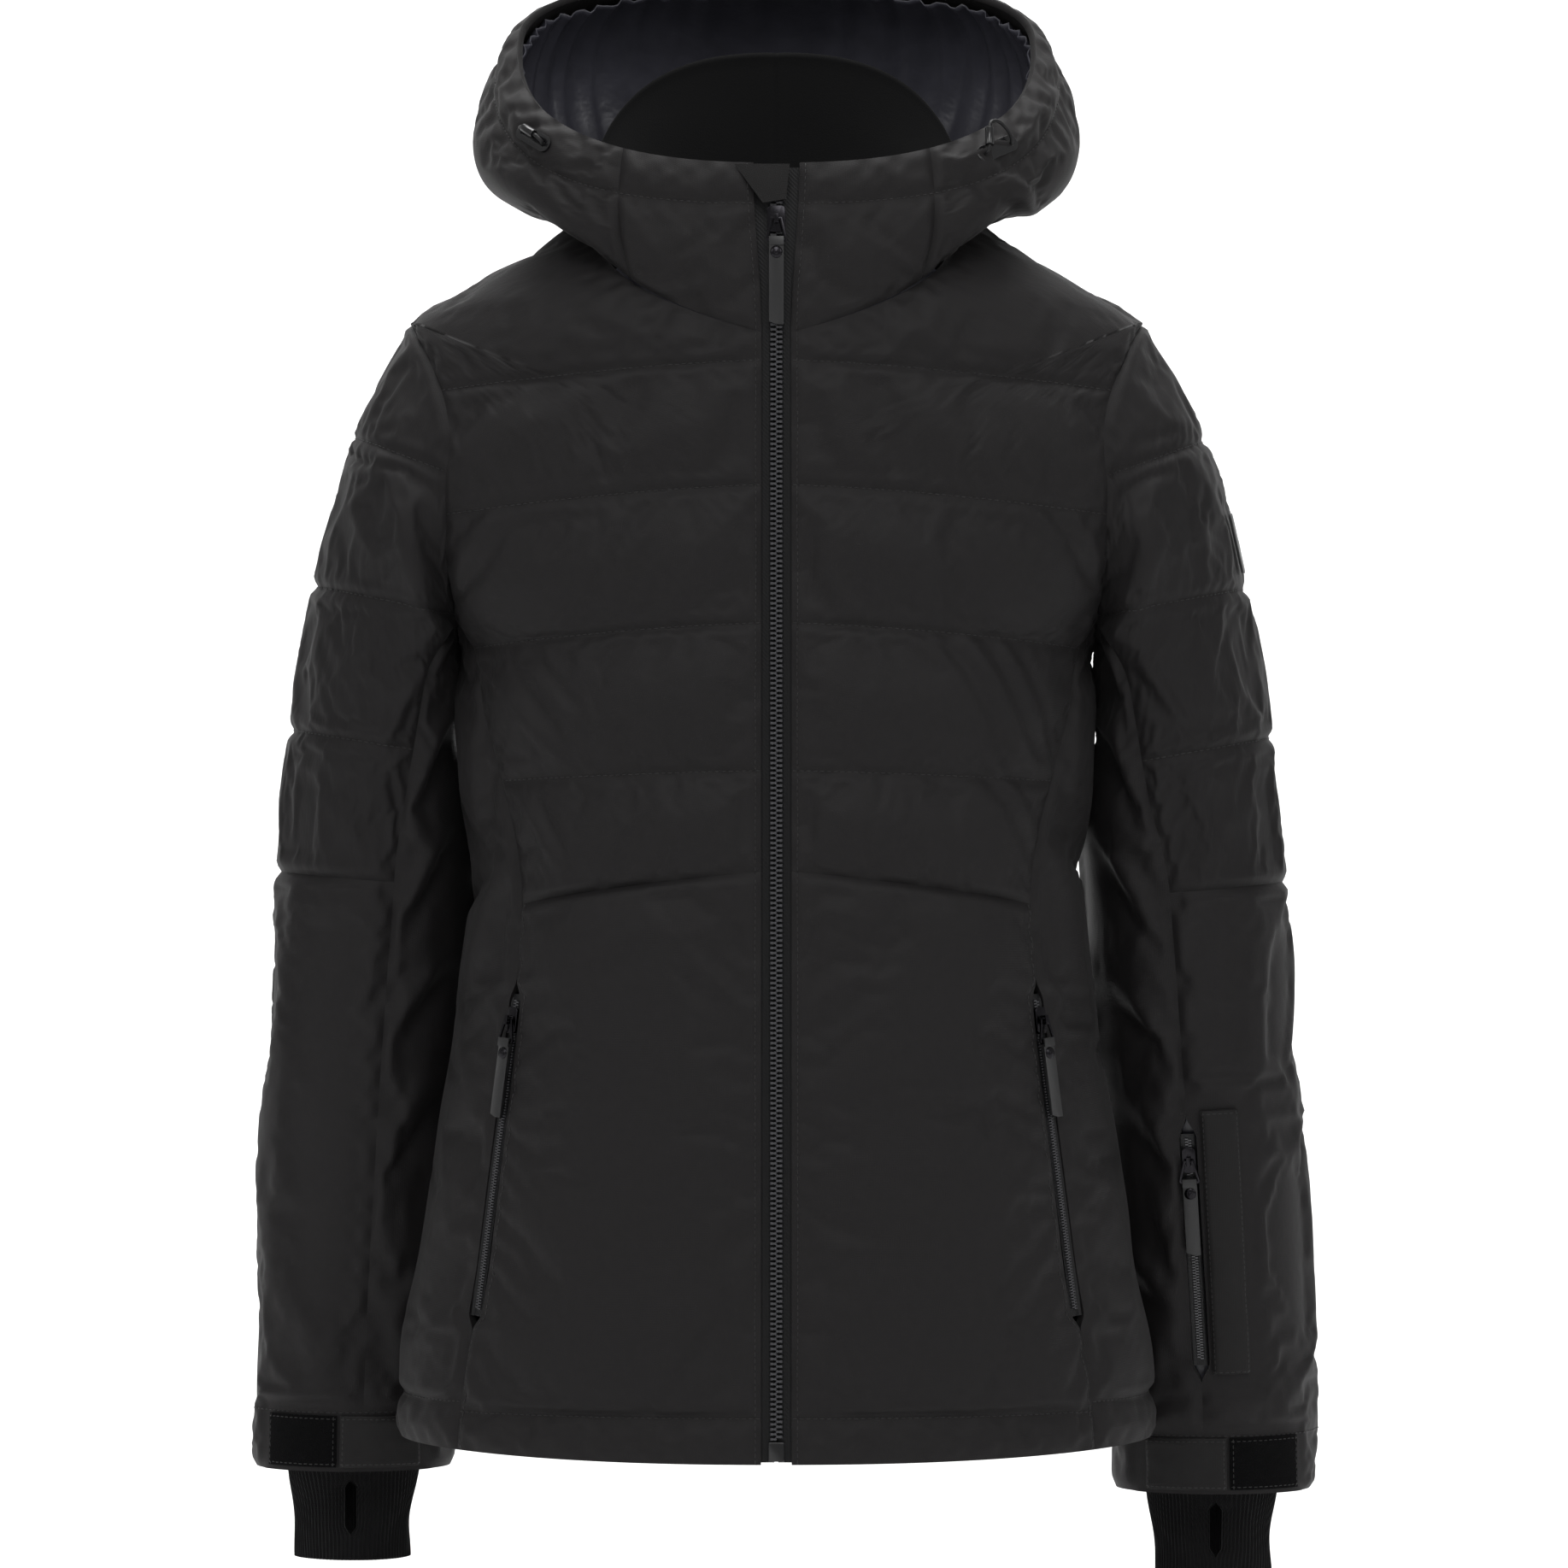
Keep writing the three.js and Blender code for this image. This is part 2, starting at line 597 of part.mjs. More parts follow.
function addBack() {
  const surface = bodyPoint;
  const other = (curve) => (v) => {
    const [angle, z] = curve(v);
    return [360 - angle, z];
  };
  const upper = joined(
    [UNDER_ROWS, ARM_ROWS, SHOULDER_ROWS],
    [backSeamUpper, armArc(UNDER_TURN, 0), shoulderSeam],
  );
  const backTop = edge(90, 270, () => NECK_HEIGHT);
  const backWaist = edge(SIDE_BACK, 360 - SIDE_BACK, () => WAIST_HEIGHT);
  const backHem = edge(SIDE_BACK, 360 - SIDE_BACK, hemHeight);
  const add = (name, place, columns, rows) =>
    addMesh(name, panel({ surface, place, columns, rows, far: SHELL }), shellCloth);
  add("back_upper", between(upper, other(upper), backWaist, backTop), 14, CHEST_ROWS);
  const seam = lowerSeam(SIDE_BACK);
  add("back_lower", between(seam, other(seam), backHem, backWaist), 10, LOWER_ROWS);
}

// The lining is one skin all round, with an arm opening through each side.
function addBodyLining() {
  const from = 11;
  const low = HEM_HEIGHT + 22;
  const top = (angle) => neckHeight(Math.min(angle, 360 - angle)) - 6;
  const height = (angle) =>
    joined([6, 4], [(v) => lerp(low, UNDERARM - 6, v), (v) => lerp(UNDERARM - 6, top(angle), v)]);
  const place = (u, v) => {
    const angle = lerp(from, 360 - from, u);
    return [angle, height(angle)(v)];
  };
  const skins = { near: LINING_DEPTH, far: LINING_DEPTH + LINING };
  const shape = { surface: bodyPoint, place, columns: 30, rows: 10, ...skins };
  const arm = new THREE.CylinderGeometry(1, 1, SHOULDER_WIDTH + 100, 20).rotateZ(Math.PI / 2);
  arm.scale(1, ARMHOLE_BREADTH / 2 + 2, ARMHOLE_DEPTH / 2 + 2).translate(0, 0, ARM_MIDDLE);
  addMesh("body_lining", cut(panel(shape), arm), liningCloth);
}

// ---- Hood
function rimPoint(angle) {
  const front = -frontDepth(RIM_FRONT_HEIGHT);
  const [x, y] = ring(angle, RIM_WIDTH / 2, RIM_CENTRE - front - RIM_SETBACK, RIM_BACK, 2.4);
  return vec(x, y + RIM_CENTRE, RIM_FRONT_HEIGHT + RIM_SLOPE * (y + RIM_CENTRE - front));
}

// From the neckline to the rim: straight at the zip, bowed over the shoulders, a pouch at the back.
function hoodPoint(angle, rise) {
  const c = Math.cos(degToRad(angle));
  const s = Math.sin(degToRad(angle));
  const front = c > 0 ? c * c : 0;
  const back = c < 0 ? c * c : 0;
  const flank = s * s;
  const away = vec(s, -c, 0);
  const start = bodyPoint(angle, neckHeight(Math.min(Math.abs(angle), 360 - Math.abs(angle))));
  const end = rimPoint(angle);
  const first = start.clone().addScaledVector(away, HOOD_SIDE_PUSH * flank + HOOD_BACK_PUSH * back);
  first.z += (COLLAR_HEIGHT / 3) * front - HOOD_BACK_FALL * back;
  const second = end.clone().addScaledVector(away, 0.74 * HOOD_SIDE_PUSH * flank + HOOD_BACK_ROUND * back);
  second.z -= (COLLAR_HEIGHT / 3) * front + 50 * flank + 15 * back;
  const lean = vec(0, FRONT_LEAN * (COLLAR_HEIGHT / 3) * front, 0);
  first.add(lean);
  second.sub(lean);
  return new THREE.CubicBezierCurve3(start, first, second, end).getPoint(clamp(rise / 100, 0, 1));
}

const hoodEdge = (angle) => (v) => [angle, 100 * v];
const hoodZipEdge = (v) => [angleAtX(ZIP_OPENING / 2, COLLAR_BASE), 100 * v];

function addHood() {
  const start = hoodZipEdge(0)[0];
  const place = (from, to) =>
    between(hoodEdge(from), hoodEdge(to), (u) => [lerp(from, to, u), 0], (u) => [lerp(from, to, u), 100]);
  [["right", -1], ["left", 1]].forEach(([word, side]) => {
    const surface = mirrored(hoodPoint, side);
    const add = (name, from, to, columns, rows) => {
      const shape = { surface, place: place(from, to), columns, rows, far: HOOD_SHELL, side };
      addMesh(`${name}_${word}`, panel(shape), shellCloth);
    };
    add("hood_front", start, COLLAR_SEAM, 4, 7);
    add("hood_side", COLLAR_SEAM, 180, 14, 7);
  });
  const inner = {
    surface: hoodPoint,
    place: (u, v) => [lerp(14, 346, u), lerp(8, 90, v)],
    columns: 28,
    rows: 6,
    near: HOOD_SHELL + LINING_ROOM,
    far: HOOD_SHELL + LINING_ROOM + LINING,
  };
  addMesh("hood_lining", panel(inner), liningCloth);
}

// The stand-up facing inside the back of the neck, highest in its middle.
const FACING_INSET = 24;
const FACING_ROUND = 1.9;
function facingPoint(angle, rise) {
  const low = ring(angle, NECK_WIDTH / 2 - FACING_INSET, NECK_BACK_DEPTH, NECK_BACK_DEPTH - 12, FACING_ROUND);
  const high = ring(angle, RIM_WIDTH / 2 - 34, NECK_BACK_DEPTH, NECK_BACK_DEPTH - 2, 2);
  const t = rise / 100;
  const crown = NECK_HEIGHT + 62 + 32 * Math.cos(degToRad(angle)) ** 2;
  return vec(lerp(low[0], high[0], t), lerp(low[1], high[1], t), lerp(NECK_HEIGHT, crown, t));
}

function addNeck() {
  const shape = {
    surface: facingPoint,
    place: (u, v) => [lerp(104, 256, u), lerp(0, 100, v)],
    columns: 10,
    rows: 3,
    far: LINING,
  };
  addMesh("neck_facing", panel(shape), facingCloth);
  const [long, tall, thick] = LOOP_STRAP;
  const share = (long / 2 / (NECK_WIDTH / 2 - FACING_INSET)) ** FACING_ROUND;
  const face = facingPoint(180, 0).y * (1 - share) ** (1 / FACING_ROUND) - LINING - 2 * GAP;
  const strap = new THREE.Shape();
  strap.moveTo(-long / 2, 0);
  strap.lineTo(-long / 2 + 8, 0);
  strap.lineTo(-long / 2 + 16, -LOOP_BOW);
  strap.lineTo(long / 2 - 16, -LOOP_BOW);
  strap.lineTo(long / 2 - 8, 0);
  strap.lineTo(long / 2, 0);
  strap.lineTo(long / 2, -thick);
  strap.lineTo(long / 2 - 9, -thick);
  strap.lineTo(long / 2 - 17, -LOOP_BOW - thick);
  strap.lineTo(17 - long / 2, -LOOP_BOW - thick);
  strap.lineTo(9 - long / 2, -thick);
  strap.lineTo(-long / 2, -thick);
  strap.closePath();
  const loop = new THREE.ExtrudeGeometry(strap, { depth: tall, bevelEnabled: false });
  addMesh("hanger_loop", loop.translate(0, face, NECK_HEIGHT + 1), shellCloth);
  return vec(0, face - LOOP_BOW, NECK_HEIGHT + 1 + tall / 2);
}

// ---- Sleeves
// Down the sleeve: [share of the outer line, share of the inner line, share of the spread].
const DOWN = [
  [0, 0, 0],
  [0.083, 0.038, 0.29],
  [0.175, 0.089, 0.5],
  [0.277, 0.155, 0.64],
  [0.366, 0.222, 0.74],
  [0.475, 0.302, 0.815],
  [0.61, 0.481, 0.87],
  [0.747, 0.665, 0.925],
  [0.893, 0.86, 0.98],
  [1, 1, 1],
];
const STEPS = DOWN.length - 1;

// How far behind the side line a sleeve section has to hang to pass behind the body.
function clearOfBody(inner, width, breadth, z) {
  let need = 0;
  for (let turn = 95; turn <= 180; turn += 5) {
    const x = inner + (width / 2) * (1 + Math.cos(degToRad(turn)));
    const share = x / (halfWidth(z) + UNDERARM_GAP);
    if (share < 1) {
      const y = (backDepth(z) + UNDERARM_GAP) * (1 - share ** roundness(z)) ** (1 / roundness(z));
      need = Math.max(need, y + (breadth / 2) * Math.sin(degToRad(turn)));
    }
  }
  return need;
}

function sleeveSections(word) {
  const top = SHOULDER_WIDTH / 2;
  return DOWN.map(([outerShare, innerShare, spread], i) => {
    const lower = HANG_LOWER[word] * outerShare;
    const x = top + (SLEEVE_SPREAD + HANG_OUTER[word]) * spread + CUFF_PUSH * spread ** 1.5;
    const outerZ = SHOULDER_HEIGHT - SLEEVE_DROP * outerShare - lower;
    const innerZ = UNDERARM - (SLEEVE_DROP - ARMHOLE_DEPTH) * innerShare - lower;
    const body = halfWidth(innerZ) + UNDERARM_GAP;
    const plain = x - SLEEVE_WIDTH;
    const innerX = i === 0 ? halfWidth(UNDERARM) : i < 5 ? Math.max(body, plain) : plain;
    const wide = Math.min(i / 5, 1);
    const narrow = Math.max(0, (i - 5) / (STEPS - 5));
    const breadth = lerp(lerp(ARMHOLE_BREADTH, ELBOW_BREADTH, wide), CUFF_BREADTH, narrow);
    const behind = Math.max(SLEEVE_BACK * outerShare, clearOfBody(innerX, x - innerX, breadth, innerZ));
    return {
      middle: vec((x + innerX) / 2, behind, (outerZ + innerZ) / 2),
      reach: vec((x - innerX) / 2, 0, (outerZ - innerZ) / 2),
      breadth: breadth / 2,
    };
  });
}

// A sleeve's surface: turn 0 is its outer side, -90 its front, 180 its inner side; down 0 to STEPS.
function sleeveSurface(word, side) {
  const sections = sleeveSections(word);
  const track = (pick) => through(sections.map((s, i) => [i, pick(s)]), true);
  const middle = ["x", "y", "z"].map((k) => track((s) => s.middle[k]));
  const reach = ["x", "y", "z"].map((k) => track((s) => s.reach[k]));
  const breadth = track((s) => s.breadth);
  const oval = (turn, down) => {
    const c = Math.cos(degToRad(turn));
    const s = Math.sin(degToRad(turn));
    const [x, y, z] = middle.map((f, k) => f(down) + reach[k](down) * c);
    return vec(x, y + breadth(down) * s, z);
  };
  return (turn, down) => {
    const round = ((turn + 540) % 360) - 180;
    const loop = bodyPoint(...armholeAt(round));
    const fade = (1 - clamp(down / 1.5, 0, 1)) ** 2;
    const p = oval(turn, down).addScaledVector(loop.sub(oval(turn, 0)), fade);
    return vec(side * p.x, p.y, p.z);
  };
}

const ELBOW = 5;
const UPPER_ROWS = 6;
const FORE_ROWS = 5;
const seamTurn = through([[0, UNDER_TURN], [2, 128], [4, 110], [5, 102], [STEPS, 98]]);

function addSleeve(word, side) {
  const surface = sleeveSurface(word, side);
  // At the armhole the sleeve's walls stand as the body's do, so that the two meet in a mitre.
  const facing = (turn, down) => {
    const round = ((turn + 540) % 360) - 180;
    const body = outward(mirrored(bodyPoint, side), ...armholeAt(round), side);
    const own = outward(surface, turn, down, -side);
    return own.lerp(body, 1 - THREE.MathUtils.smoothstep(down, 0.1, 0.8)).normalize();
  };
  const add = (name, place, columns, rows, ...tools) => {
    const g = panel({ surface, place, columns, rows, far: SHELL, side: -side, facing });
    addMesh(`${name}_${word}`, tools.length ? cut(g, ...tools) : g, shellCloth);
  };
  const outerPart = (from, to) => (u, v) => {
    const down = lerp(from, to, v);
    return [lerp(-seamTurn(down), seamTurn(down), u), down];
  };
  const whole = joined([UPPER_ROWS, FORE_ROWS], [(v) => lerp(0, ELBOW, v), (v) => lerp(ELBOW, STEPS, v)]);
  const innerPart = (u, v) => {
    const down = whole(v);
    return [lerp(seamTurn(down), 360 - seamTurn(down), u), down];
  };
  const slots = word === "left" ? [addSleevePocket(surface, side)] : [];
  add("upper_sleeve", outerPart(0, ELBOW), 2 * ARM_ROWS, UPPER_ROWS);
  add("fore_sleeve", outerPart(ELBOW, STEPS), 2 * ARM_ROWS, FORE_ROWS, ...slots);
  add("under_sleeve", innerPart, SIDE_COLUMNS, UPPER_ROWS + FORE_ROWS, ...slots);
  addCuff(word, side, surface);
}

// A raised welt beside a short zip, in the front seam of the lower sleeve.
const SLEEVE_POCKET = [6.55, 7.95];
function addSleevePocket(surface, side) {
  const [from, to] = SLEEVE_POCKET;
  const middle = (from + to) / 2;
  const onSeam = (down) => surface(-seamTurn(down), down);
  const inward = outward(surface, -seamTurn(middle), middle, side);
  const group = zipGroup(onSeam(to), onSeam(from), inward);
  const slot = slotTool(group, 2);
  addPocketZip("sleeve_pocket", group);
  const degrees = (width) => radToDeg(width / (SLEEVE_WIDTH / 2));
  const place = (u, v) => {
    const down = lerp(from - 0.15, to + 0.05, v);
    const start = degrees(POCKET_OPENING / 2 + 2) - seamTurn(down);
    return [start + degrees(WELT_WIDTH) * u, down];
  };
  const shape = { surface, place, columns: 4, rows: 8, near: -LIFT - WELT, far: -LIFT, side: -side };
  addMesh("sleeve_pocket_welt", panel(shape), shellCloth);
  return slot;
}

function addCuff(word, side, surface) {
  const degrees = (width) => radToDeg(width / (SLEEVE_WIDTH / 2));
  const [long, tall, thick] = TAB_STRAP;
  const LOW = STEPS - 0.04;
  const HIGH = STEPS - tall / 55;
  const strip = (name, from, to, depth, material) => {
    const place = (u, v) => [lerp(from, to, u), lerp(HIGH, LOW, v)];
    const shape = { surface, place, columns: 4, rows: 1, near: -LIFT - depth, far: -LIFT, side: -side };
    addMesh(`${name}_${word}`, panel(shape), material);
  };
  const free = -84;
  strip("cuff_patch", free + 1, free + degrees(44), PATCH, hookCloth);
  strip("cuff_tab", free - degrees(long), free - 1, thick, shellCloth);
  joints[`cuff_tab_${word}`] = { point: surface(free - degrees(long), STEPS - tall / 110) };
  // The gaiter is a stretch tube that starts inside the cuff and ends past it, with a slit for the thumb.
  const cuff = surface(0, STEPS).add(surface(180, STEPS)).multiplyScalar(0.5);
  const profile = [
    [0.5, -GAITER_LENGTH],
    [0.52, -20],
    [0.58, 2],
    [0.68, 44],
  ];
  const outerWall = profile.map(([share, z]) => new THREE.Vector2(share * GAITER_WIDTH, z));
  const innerWall = [...outerWall].reverse().map((p) => new THREE.Vector2(p.x - GAITER, p.y));
  const wall = [...outerWall, ...innerWall, outerWall[0].clone()];
  const tube = new THREE.LatheGeometry(wall, 20).rotateX(Math.PI / 2);
  tube.scale(1, GAITER_BREADTH / GAITER_WIDTH, 1).translate(cuff.x, cuff.y, cuff.z);
  const [wide, high] = THUMB_SLIT;
  const front = cuff.y - GAITER_BREADTH;
  const slit = block(cuff.x - wide / 2, cuff.x + wide / 2, front, cuff.y, cuff.z - high - 8, cuff.z - 8);
  addMesh(`wrist_gaiter_${word}`, cut(closed(tube), slit), knit);
}

// A plain raised badge on the outside of one upper sleeve.
function addBadge(surface, side) {
  const at = [-14, 2.1];
  const out = outward(surface, ...at, -side);
  const point = surface(...at).addScaledVector(out, GAP + 0.8);
  const up = vec(0, 0, 1).addScaledVector(out, -out.z).normalize();
  const across = up.clone().cross(out);
  const group = new THREE.Group();
  group.applyMatrix4(new THREE.Matrix4().makeBasis(across, up, out).setPosition(point));
  jacket.add(group);
  const plate = new THREE.ExtrudeGeometry(roundedPlate(BADGE_WIDTH, BADGE_LENGTH, 3), {
    depth: BADGE,
    bevelEnabled: false,
    curveSegments: 4,
  });
  addMesh("sleeve_badge", plate, rubber, group);
  joints.sleeve_badge = { frame: group };
}

// ---- Hood cord loops
// Each loop leaves one eye of an oval plate and goes back into the other. Points are x, y and z in the
// plate's own frame: along the plate, into the hood, and towards the rim.
const LOOPS = {
  right: {
    angle: -57,
    route: [[-9.8, 0.2, 0], [-9.8, -2.4, 0], [-9.8, -4.6, 0.6], [-7, -6.6, 1.4], [-5.2, -6.8, 1.5],
      [5.2, -6.8, 1.5], [7, -6.6, 1.4], [9.8, -4.6, 0.6], [9.8, -2.4, 0], [9.8, 0.2, 0]],
    lock: [0, -6.8, 1.5],
    along: [1, 0, 0],
  },
  left: {
    angle: 49,
    route: [[-9.8, 0.2, 0], [-9.8, -2.4, 0], [-9.8, -5, 0.4], [-8.6, -6.4, 1.6], [-7.6, -6.6, 3],
      [-2.2, -6.6, 11], [1.5, -6.4, 13.6], [6, -6, 12.4], [9, -5.4, 7], [9.8, -4.4, 2], [9.8, -2.4, 0],
      [9.8, 0.2, 0]],
    lock: [-5.2, -6.6, 6.6],
    along: [0.559, 0, 0.829],
  },
};

function addHoodLoop(word) {
  const { angle, route, lock, along } = LOOPS[word];
  const RISE = 88;
  const side = Math.sign(angle);
  const surface = mirrored(hoodPoint, side);
  const out = outward(surface, Math.abs(angle), RISE, side);
  const step = 0.5;
  const across = surface(Math.abs(angle) + step, RISE).sub(surface(Math.abs(angle) - step, RISE));
  const x = across.multiplyScalar(side).normalize();
  const up = x.clone().cross(out.clone().negate()).normalize();
  const y = up.clone().cross(x);
  const origin = surface(Math.abs(angle), RISE).addScaledVector(out, 0.9);
  const group = new THREE.Group();
  group.applyMatrix4(new THREE.Matrix4().makeBasis(x, y, up).setPosition(origin));
  jacket.add(group);
  const plate = roundedPlate(EYELET_SPAN + 9, 9, 4.4);
  [-1, 1].forEach((end) => {
    const hole = new THREE.Path();
    hole.absarc((end * EYELET_SPAN) / 2, 0, EYELET_HOLE / 2, 0, 2 * Math.PI, true);
    plate.holes.push(hole);
  });
  addMesh(`eyelet_plate_${word}`, flat(plate, -1.8, -0.4, 5), plastic, group);
  const curve = new THREE.CatmullRomCurve3(route.map((p) => vec(...p)), false, "centripetal");
  const section = new THREE.Shape();
  section.absarc(0, 0, CORD / 2, 0, 2 * Math.PI);
  const tube = new THREE.ExtrudeGeometry(section, { steps: 26, curveSegments: 4, extrudePath: curve });
  addMesh(`hood_cord_${word}`, tube, knit, group);
  const bore = CORD / 2 + GAP;
  const ringProfile = [
    [bore, -LOCK_LENGTH / 2],
    [LOCK_WIDTH / 2, -LOCK_LENGTH / 2],
    [LOCK_WIDTH / 2, LOCK_LENGTH / 2],
    [bore, LOCK_LENGTH / 2],
    [bore, -LOCK_LENGTH / 2],
  ].map(([r, h]) => new THREE.Vector2(r, h));
  const barrel = addMesh(`cord_lock_${word}`, new THREE.LatheGeometry(ringProfile, 12), plastic, group);
  barrel.position.set(...lock);
  barrel.quaternion.setFromUnitVectors(vec(0, 1, 0), vec(...along));
  joints[`cord_lock_${word}`] = { frame: barrel };
}

addMainZip();
addBody();
addBack();
addBodyLining();
addHood();
addSleeve("right", -1);
addSleeve("left", 1);
addBadge(sleeveSurface("left", 1), 1);
addHoodLoop("right");
addHoodLoop("left");
const hanger = addNeck();

jacket.position.copy(hanger).negate();
jacket.userData.joints = joints;
jacket.userData.hanger = hanger;

export default jacket;
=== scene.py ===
# %% [markdown]
# # A padded ski jacket
# The jacket hangs closed from the loop at the back of its neck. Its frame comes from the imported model:
# every length below is the one that the model was built with, in millimetres, and `placed` turns them
# into the frame's metres. Each sewn panel is one surface, worked out on a grid, and its padding, seams
# and creases are added along the surface's own outward direction.

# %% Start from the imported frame
import math

import bmesh
import bpy
import numpy as np
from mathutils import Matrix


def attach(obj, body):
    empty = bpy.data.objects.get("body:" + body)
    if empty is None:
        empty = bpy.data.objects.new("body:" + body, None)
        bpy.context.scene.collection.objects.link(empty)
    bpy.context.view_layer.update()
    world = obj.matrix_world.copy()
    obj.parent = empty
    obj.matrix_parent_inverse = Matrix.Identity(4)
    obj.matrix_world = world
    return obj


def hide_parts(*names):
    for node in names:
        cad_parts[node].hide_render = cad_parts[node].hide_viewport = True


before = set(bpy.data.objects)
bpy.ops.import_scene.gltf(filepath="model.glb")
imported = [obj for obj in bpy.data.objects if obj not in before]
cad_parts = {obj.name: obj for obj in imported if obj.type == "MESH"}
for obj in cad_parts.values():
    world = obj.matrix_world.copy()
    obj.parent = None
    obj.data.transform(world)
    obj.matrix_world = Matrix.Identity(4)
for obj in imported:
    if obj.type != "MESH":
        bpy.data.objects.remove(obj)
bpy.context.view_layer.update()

# %% [markdown]
# ## Camera and light
# The camera stands four metres in front, level with the waist, with a long lens, so the jacket is seen
# almost flat on. Black cloth only shows its folds when large soft lights graze it, so one broad light
# stands high on each side, with a weaker one in front, on a pale sweep of floor and wall.

# %% Camera, lights and the pale sweep
NECK_LOOP = np.array([0.0, 47.896, 674.0])
EYE = (0.004, -4.048, -0.309)
LENS = 171.6

camera = bpy.data.objects.new("camera", bpy.data.cameras.new("camera"))
camera.data.lens = LENS
camera.data.sensor_width = 36
camera.location = EYE
camera.rotation_euler = (math.pi / 2, 0, 0)
bpy.context.scene.collection.objects.link(camera)
bpy.context.scene.camera = camera


def soft_light(name, place, target, width, power):
    """A square light of a width, turned so that its back runs from the target to its place."""
    lamp = bpy.data.lights.new(name, "AREA")
    lamp.size = width
    lamp.energy = power
    holder = bpy.data.objects.new(name, lamp)
    holder.location = place
    away = np.array(place) - np.array(target)
    yaw = math.atan2(away[1], away[0]) + math.pi / 2
    pitch = math.atan2(math.hypot(away[0], away[1]), away[2])
    holder.rotation_euler = (pitch, 0, yaw)
    bpy.context.scene.collection.objects.link(holder)
    return holder


CHEST = (0, 0, -0.3)
soft_light("light_left", (-2.2, -2.0, 1.0), CHEST, 1.2, 13)
soft_light("light_right", (2.2, -2.0, 1.0), CHEST, 1.2, 13)
soft_light("light_front", (0, -1.8, 1.3), CHEST, 1.0, 18)
soft_light("light_top", (0, -0.2, 2.0), CHEST, 1.2, 12)
soft_light("light_wall", (0, 0.7, 2.4), (0, 2.4, 0.2), 2.0, 90)

world = bpy.data.worlds.new("studio")
bpy.context.scene.world = world
world.use_nodes = True
world.node_tree.nodes["Background"].inputs["Color"].default_value = (1, 1, 1, 1)
world.node_tree.nodes["Background"].inputs["Strength"].default_value = 0.42
bpy.context.scene.view_settings.view_transform = "Standard"
print("camera at", EYE, "with", len(bpy.data.lights), "lights")

# %% [markdown]
# ## Curves and grids
# A sewn panel is a patch between four seams. `through` is a smooth curve through a few sizes, `between`
# fills the patch, and `mesh_of` puts rows of points into a mesh with a map of the cloth in metres, so
# a weave keeps its scale however the panel bends. Working on whole arrays keeps this quick.

# %% Smooth curves through sizes
def through(points, runs_on=False):
    """A cubic Hermite curve through (place, value) points: slopes are central differences, 0 at the ends."""
    at, value = np.array(points, float).T
    slope = np.zeros_like(value)
    slope[1:-1] = (value[2:] - value[:-2]) / (at[2:] - at[:-2])
    if runs_on:
        slope[0] = (value[1] - value[0]) / (at[1] - at[0])
        slope[-1] = (value[-1] - value[-2]) / (at[-1] - at[-2])

    def curve(s):
        s = np.clip(s, at[0], at[-1])
        i = np.clip(np.searchsorted(at, s, side="right") - 1, 0, len(at) - 2)
        wide = at[i + 1] - at[i]
        t = (s - at[i]) / wide
        t2, t3 = t * t, t * t * t
        ends = value[i] * (2 * t3 - 3 * t2 + 1) + value[i + 1] * (3 * t2 - 2 * t3)
        return ends + wide * (slope[i] * (t3 - 2 * t2 + t) + slope[i + 1] * (t3 - t2))

    return curve


def mix(a, b, t):
    """The point a share t of the way from a to b."""
    return a + (b - a) * t


def smooth(low, high, x):
    """0 below low, 1 above high, and 3t^2 - 2t^3 between."""
    t = np.clip((x - low) / (high - low), 0, 1)
    return t * t * (3 - 2 * t)


def joined(rows, curves):
    """Curves end to end, each with its share of the rows."""
    stops = np.cumsum([0, *rows]) / sum(rows)

    def curve(v):
        parts = [c(np.clip((v - lo) / (hi - lo), 0, 1)) for c, lo, hi in zip(curves, stops, stops[1:])]
        which = [v <= hi for hi in stops[1:-1]] + [np.ones_like(v, bool)]
        return np.select(which, [p[0] for p in parts]), np.select(which, [p[1] for p in parts])

    return curve


def between(left, right, bottom, top):
    """A Coons patch: the mean across plus the mean along, less the mean of the four corners."""
    def place(u, v):
        zero, one = np.zeros(1), np.ones(1)
        sides = [mix(a, b, u) for a, b in zip(left(v), right(v))]
        ends = [mix(a, b, v) for a, b in zip(bottom(u), top(u))]
        low = [mix(a, b, u) for a, b in zip(left(zero), right(zero))]
        high = [mix(a, b, u) for a, b in zip(left(one), right(one))]
        return tuple(s + e - mix(p, q, v) for s, e, p, q in zip(sides, ends, low, high))

    return place


def placed(points, side=1):
    """Millimetres from the hem datum to metres from the neck loop; side -1 mirrors left to right."""
    return (points * [side, 1, 1] - NECK_LOOP) / 1000


def unit(vectors):
    return vectors / np.maximum(np.linalg.norm(vectors, axis=-1, keepdims=True), 1e-12)


def outward(surface, a, b, sign=1, step=0.05):
    """The cross product of the surface's two slopes, as a unit vector."""
    across = surface(a + step, b) - surface(a - step, b)
    along = surface(a, b + step) - surface(a, b - step)
    return sign * unit(np.cross(across, along))


# %% Meshes from grids
def quads(rows, columns, start=0, wrap=False):
    """The corner numbers of a grid's faces, anticlockwise seen with u to the right and v up."""
    r, c = np.meshgrid(np.arange(rows - 1), np.arange(columns if wrap else columns - 1), indexing="ij")
    right = (c + 1) % columns
    corners = [r * columns + c, r * columns + right, (r + 1) * columns + right, (r + 1) * columns + c]
    return start + np.stack([k.ravel() for k in corners], -1)


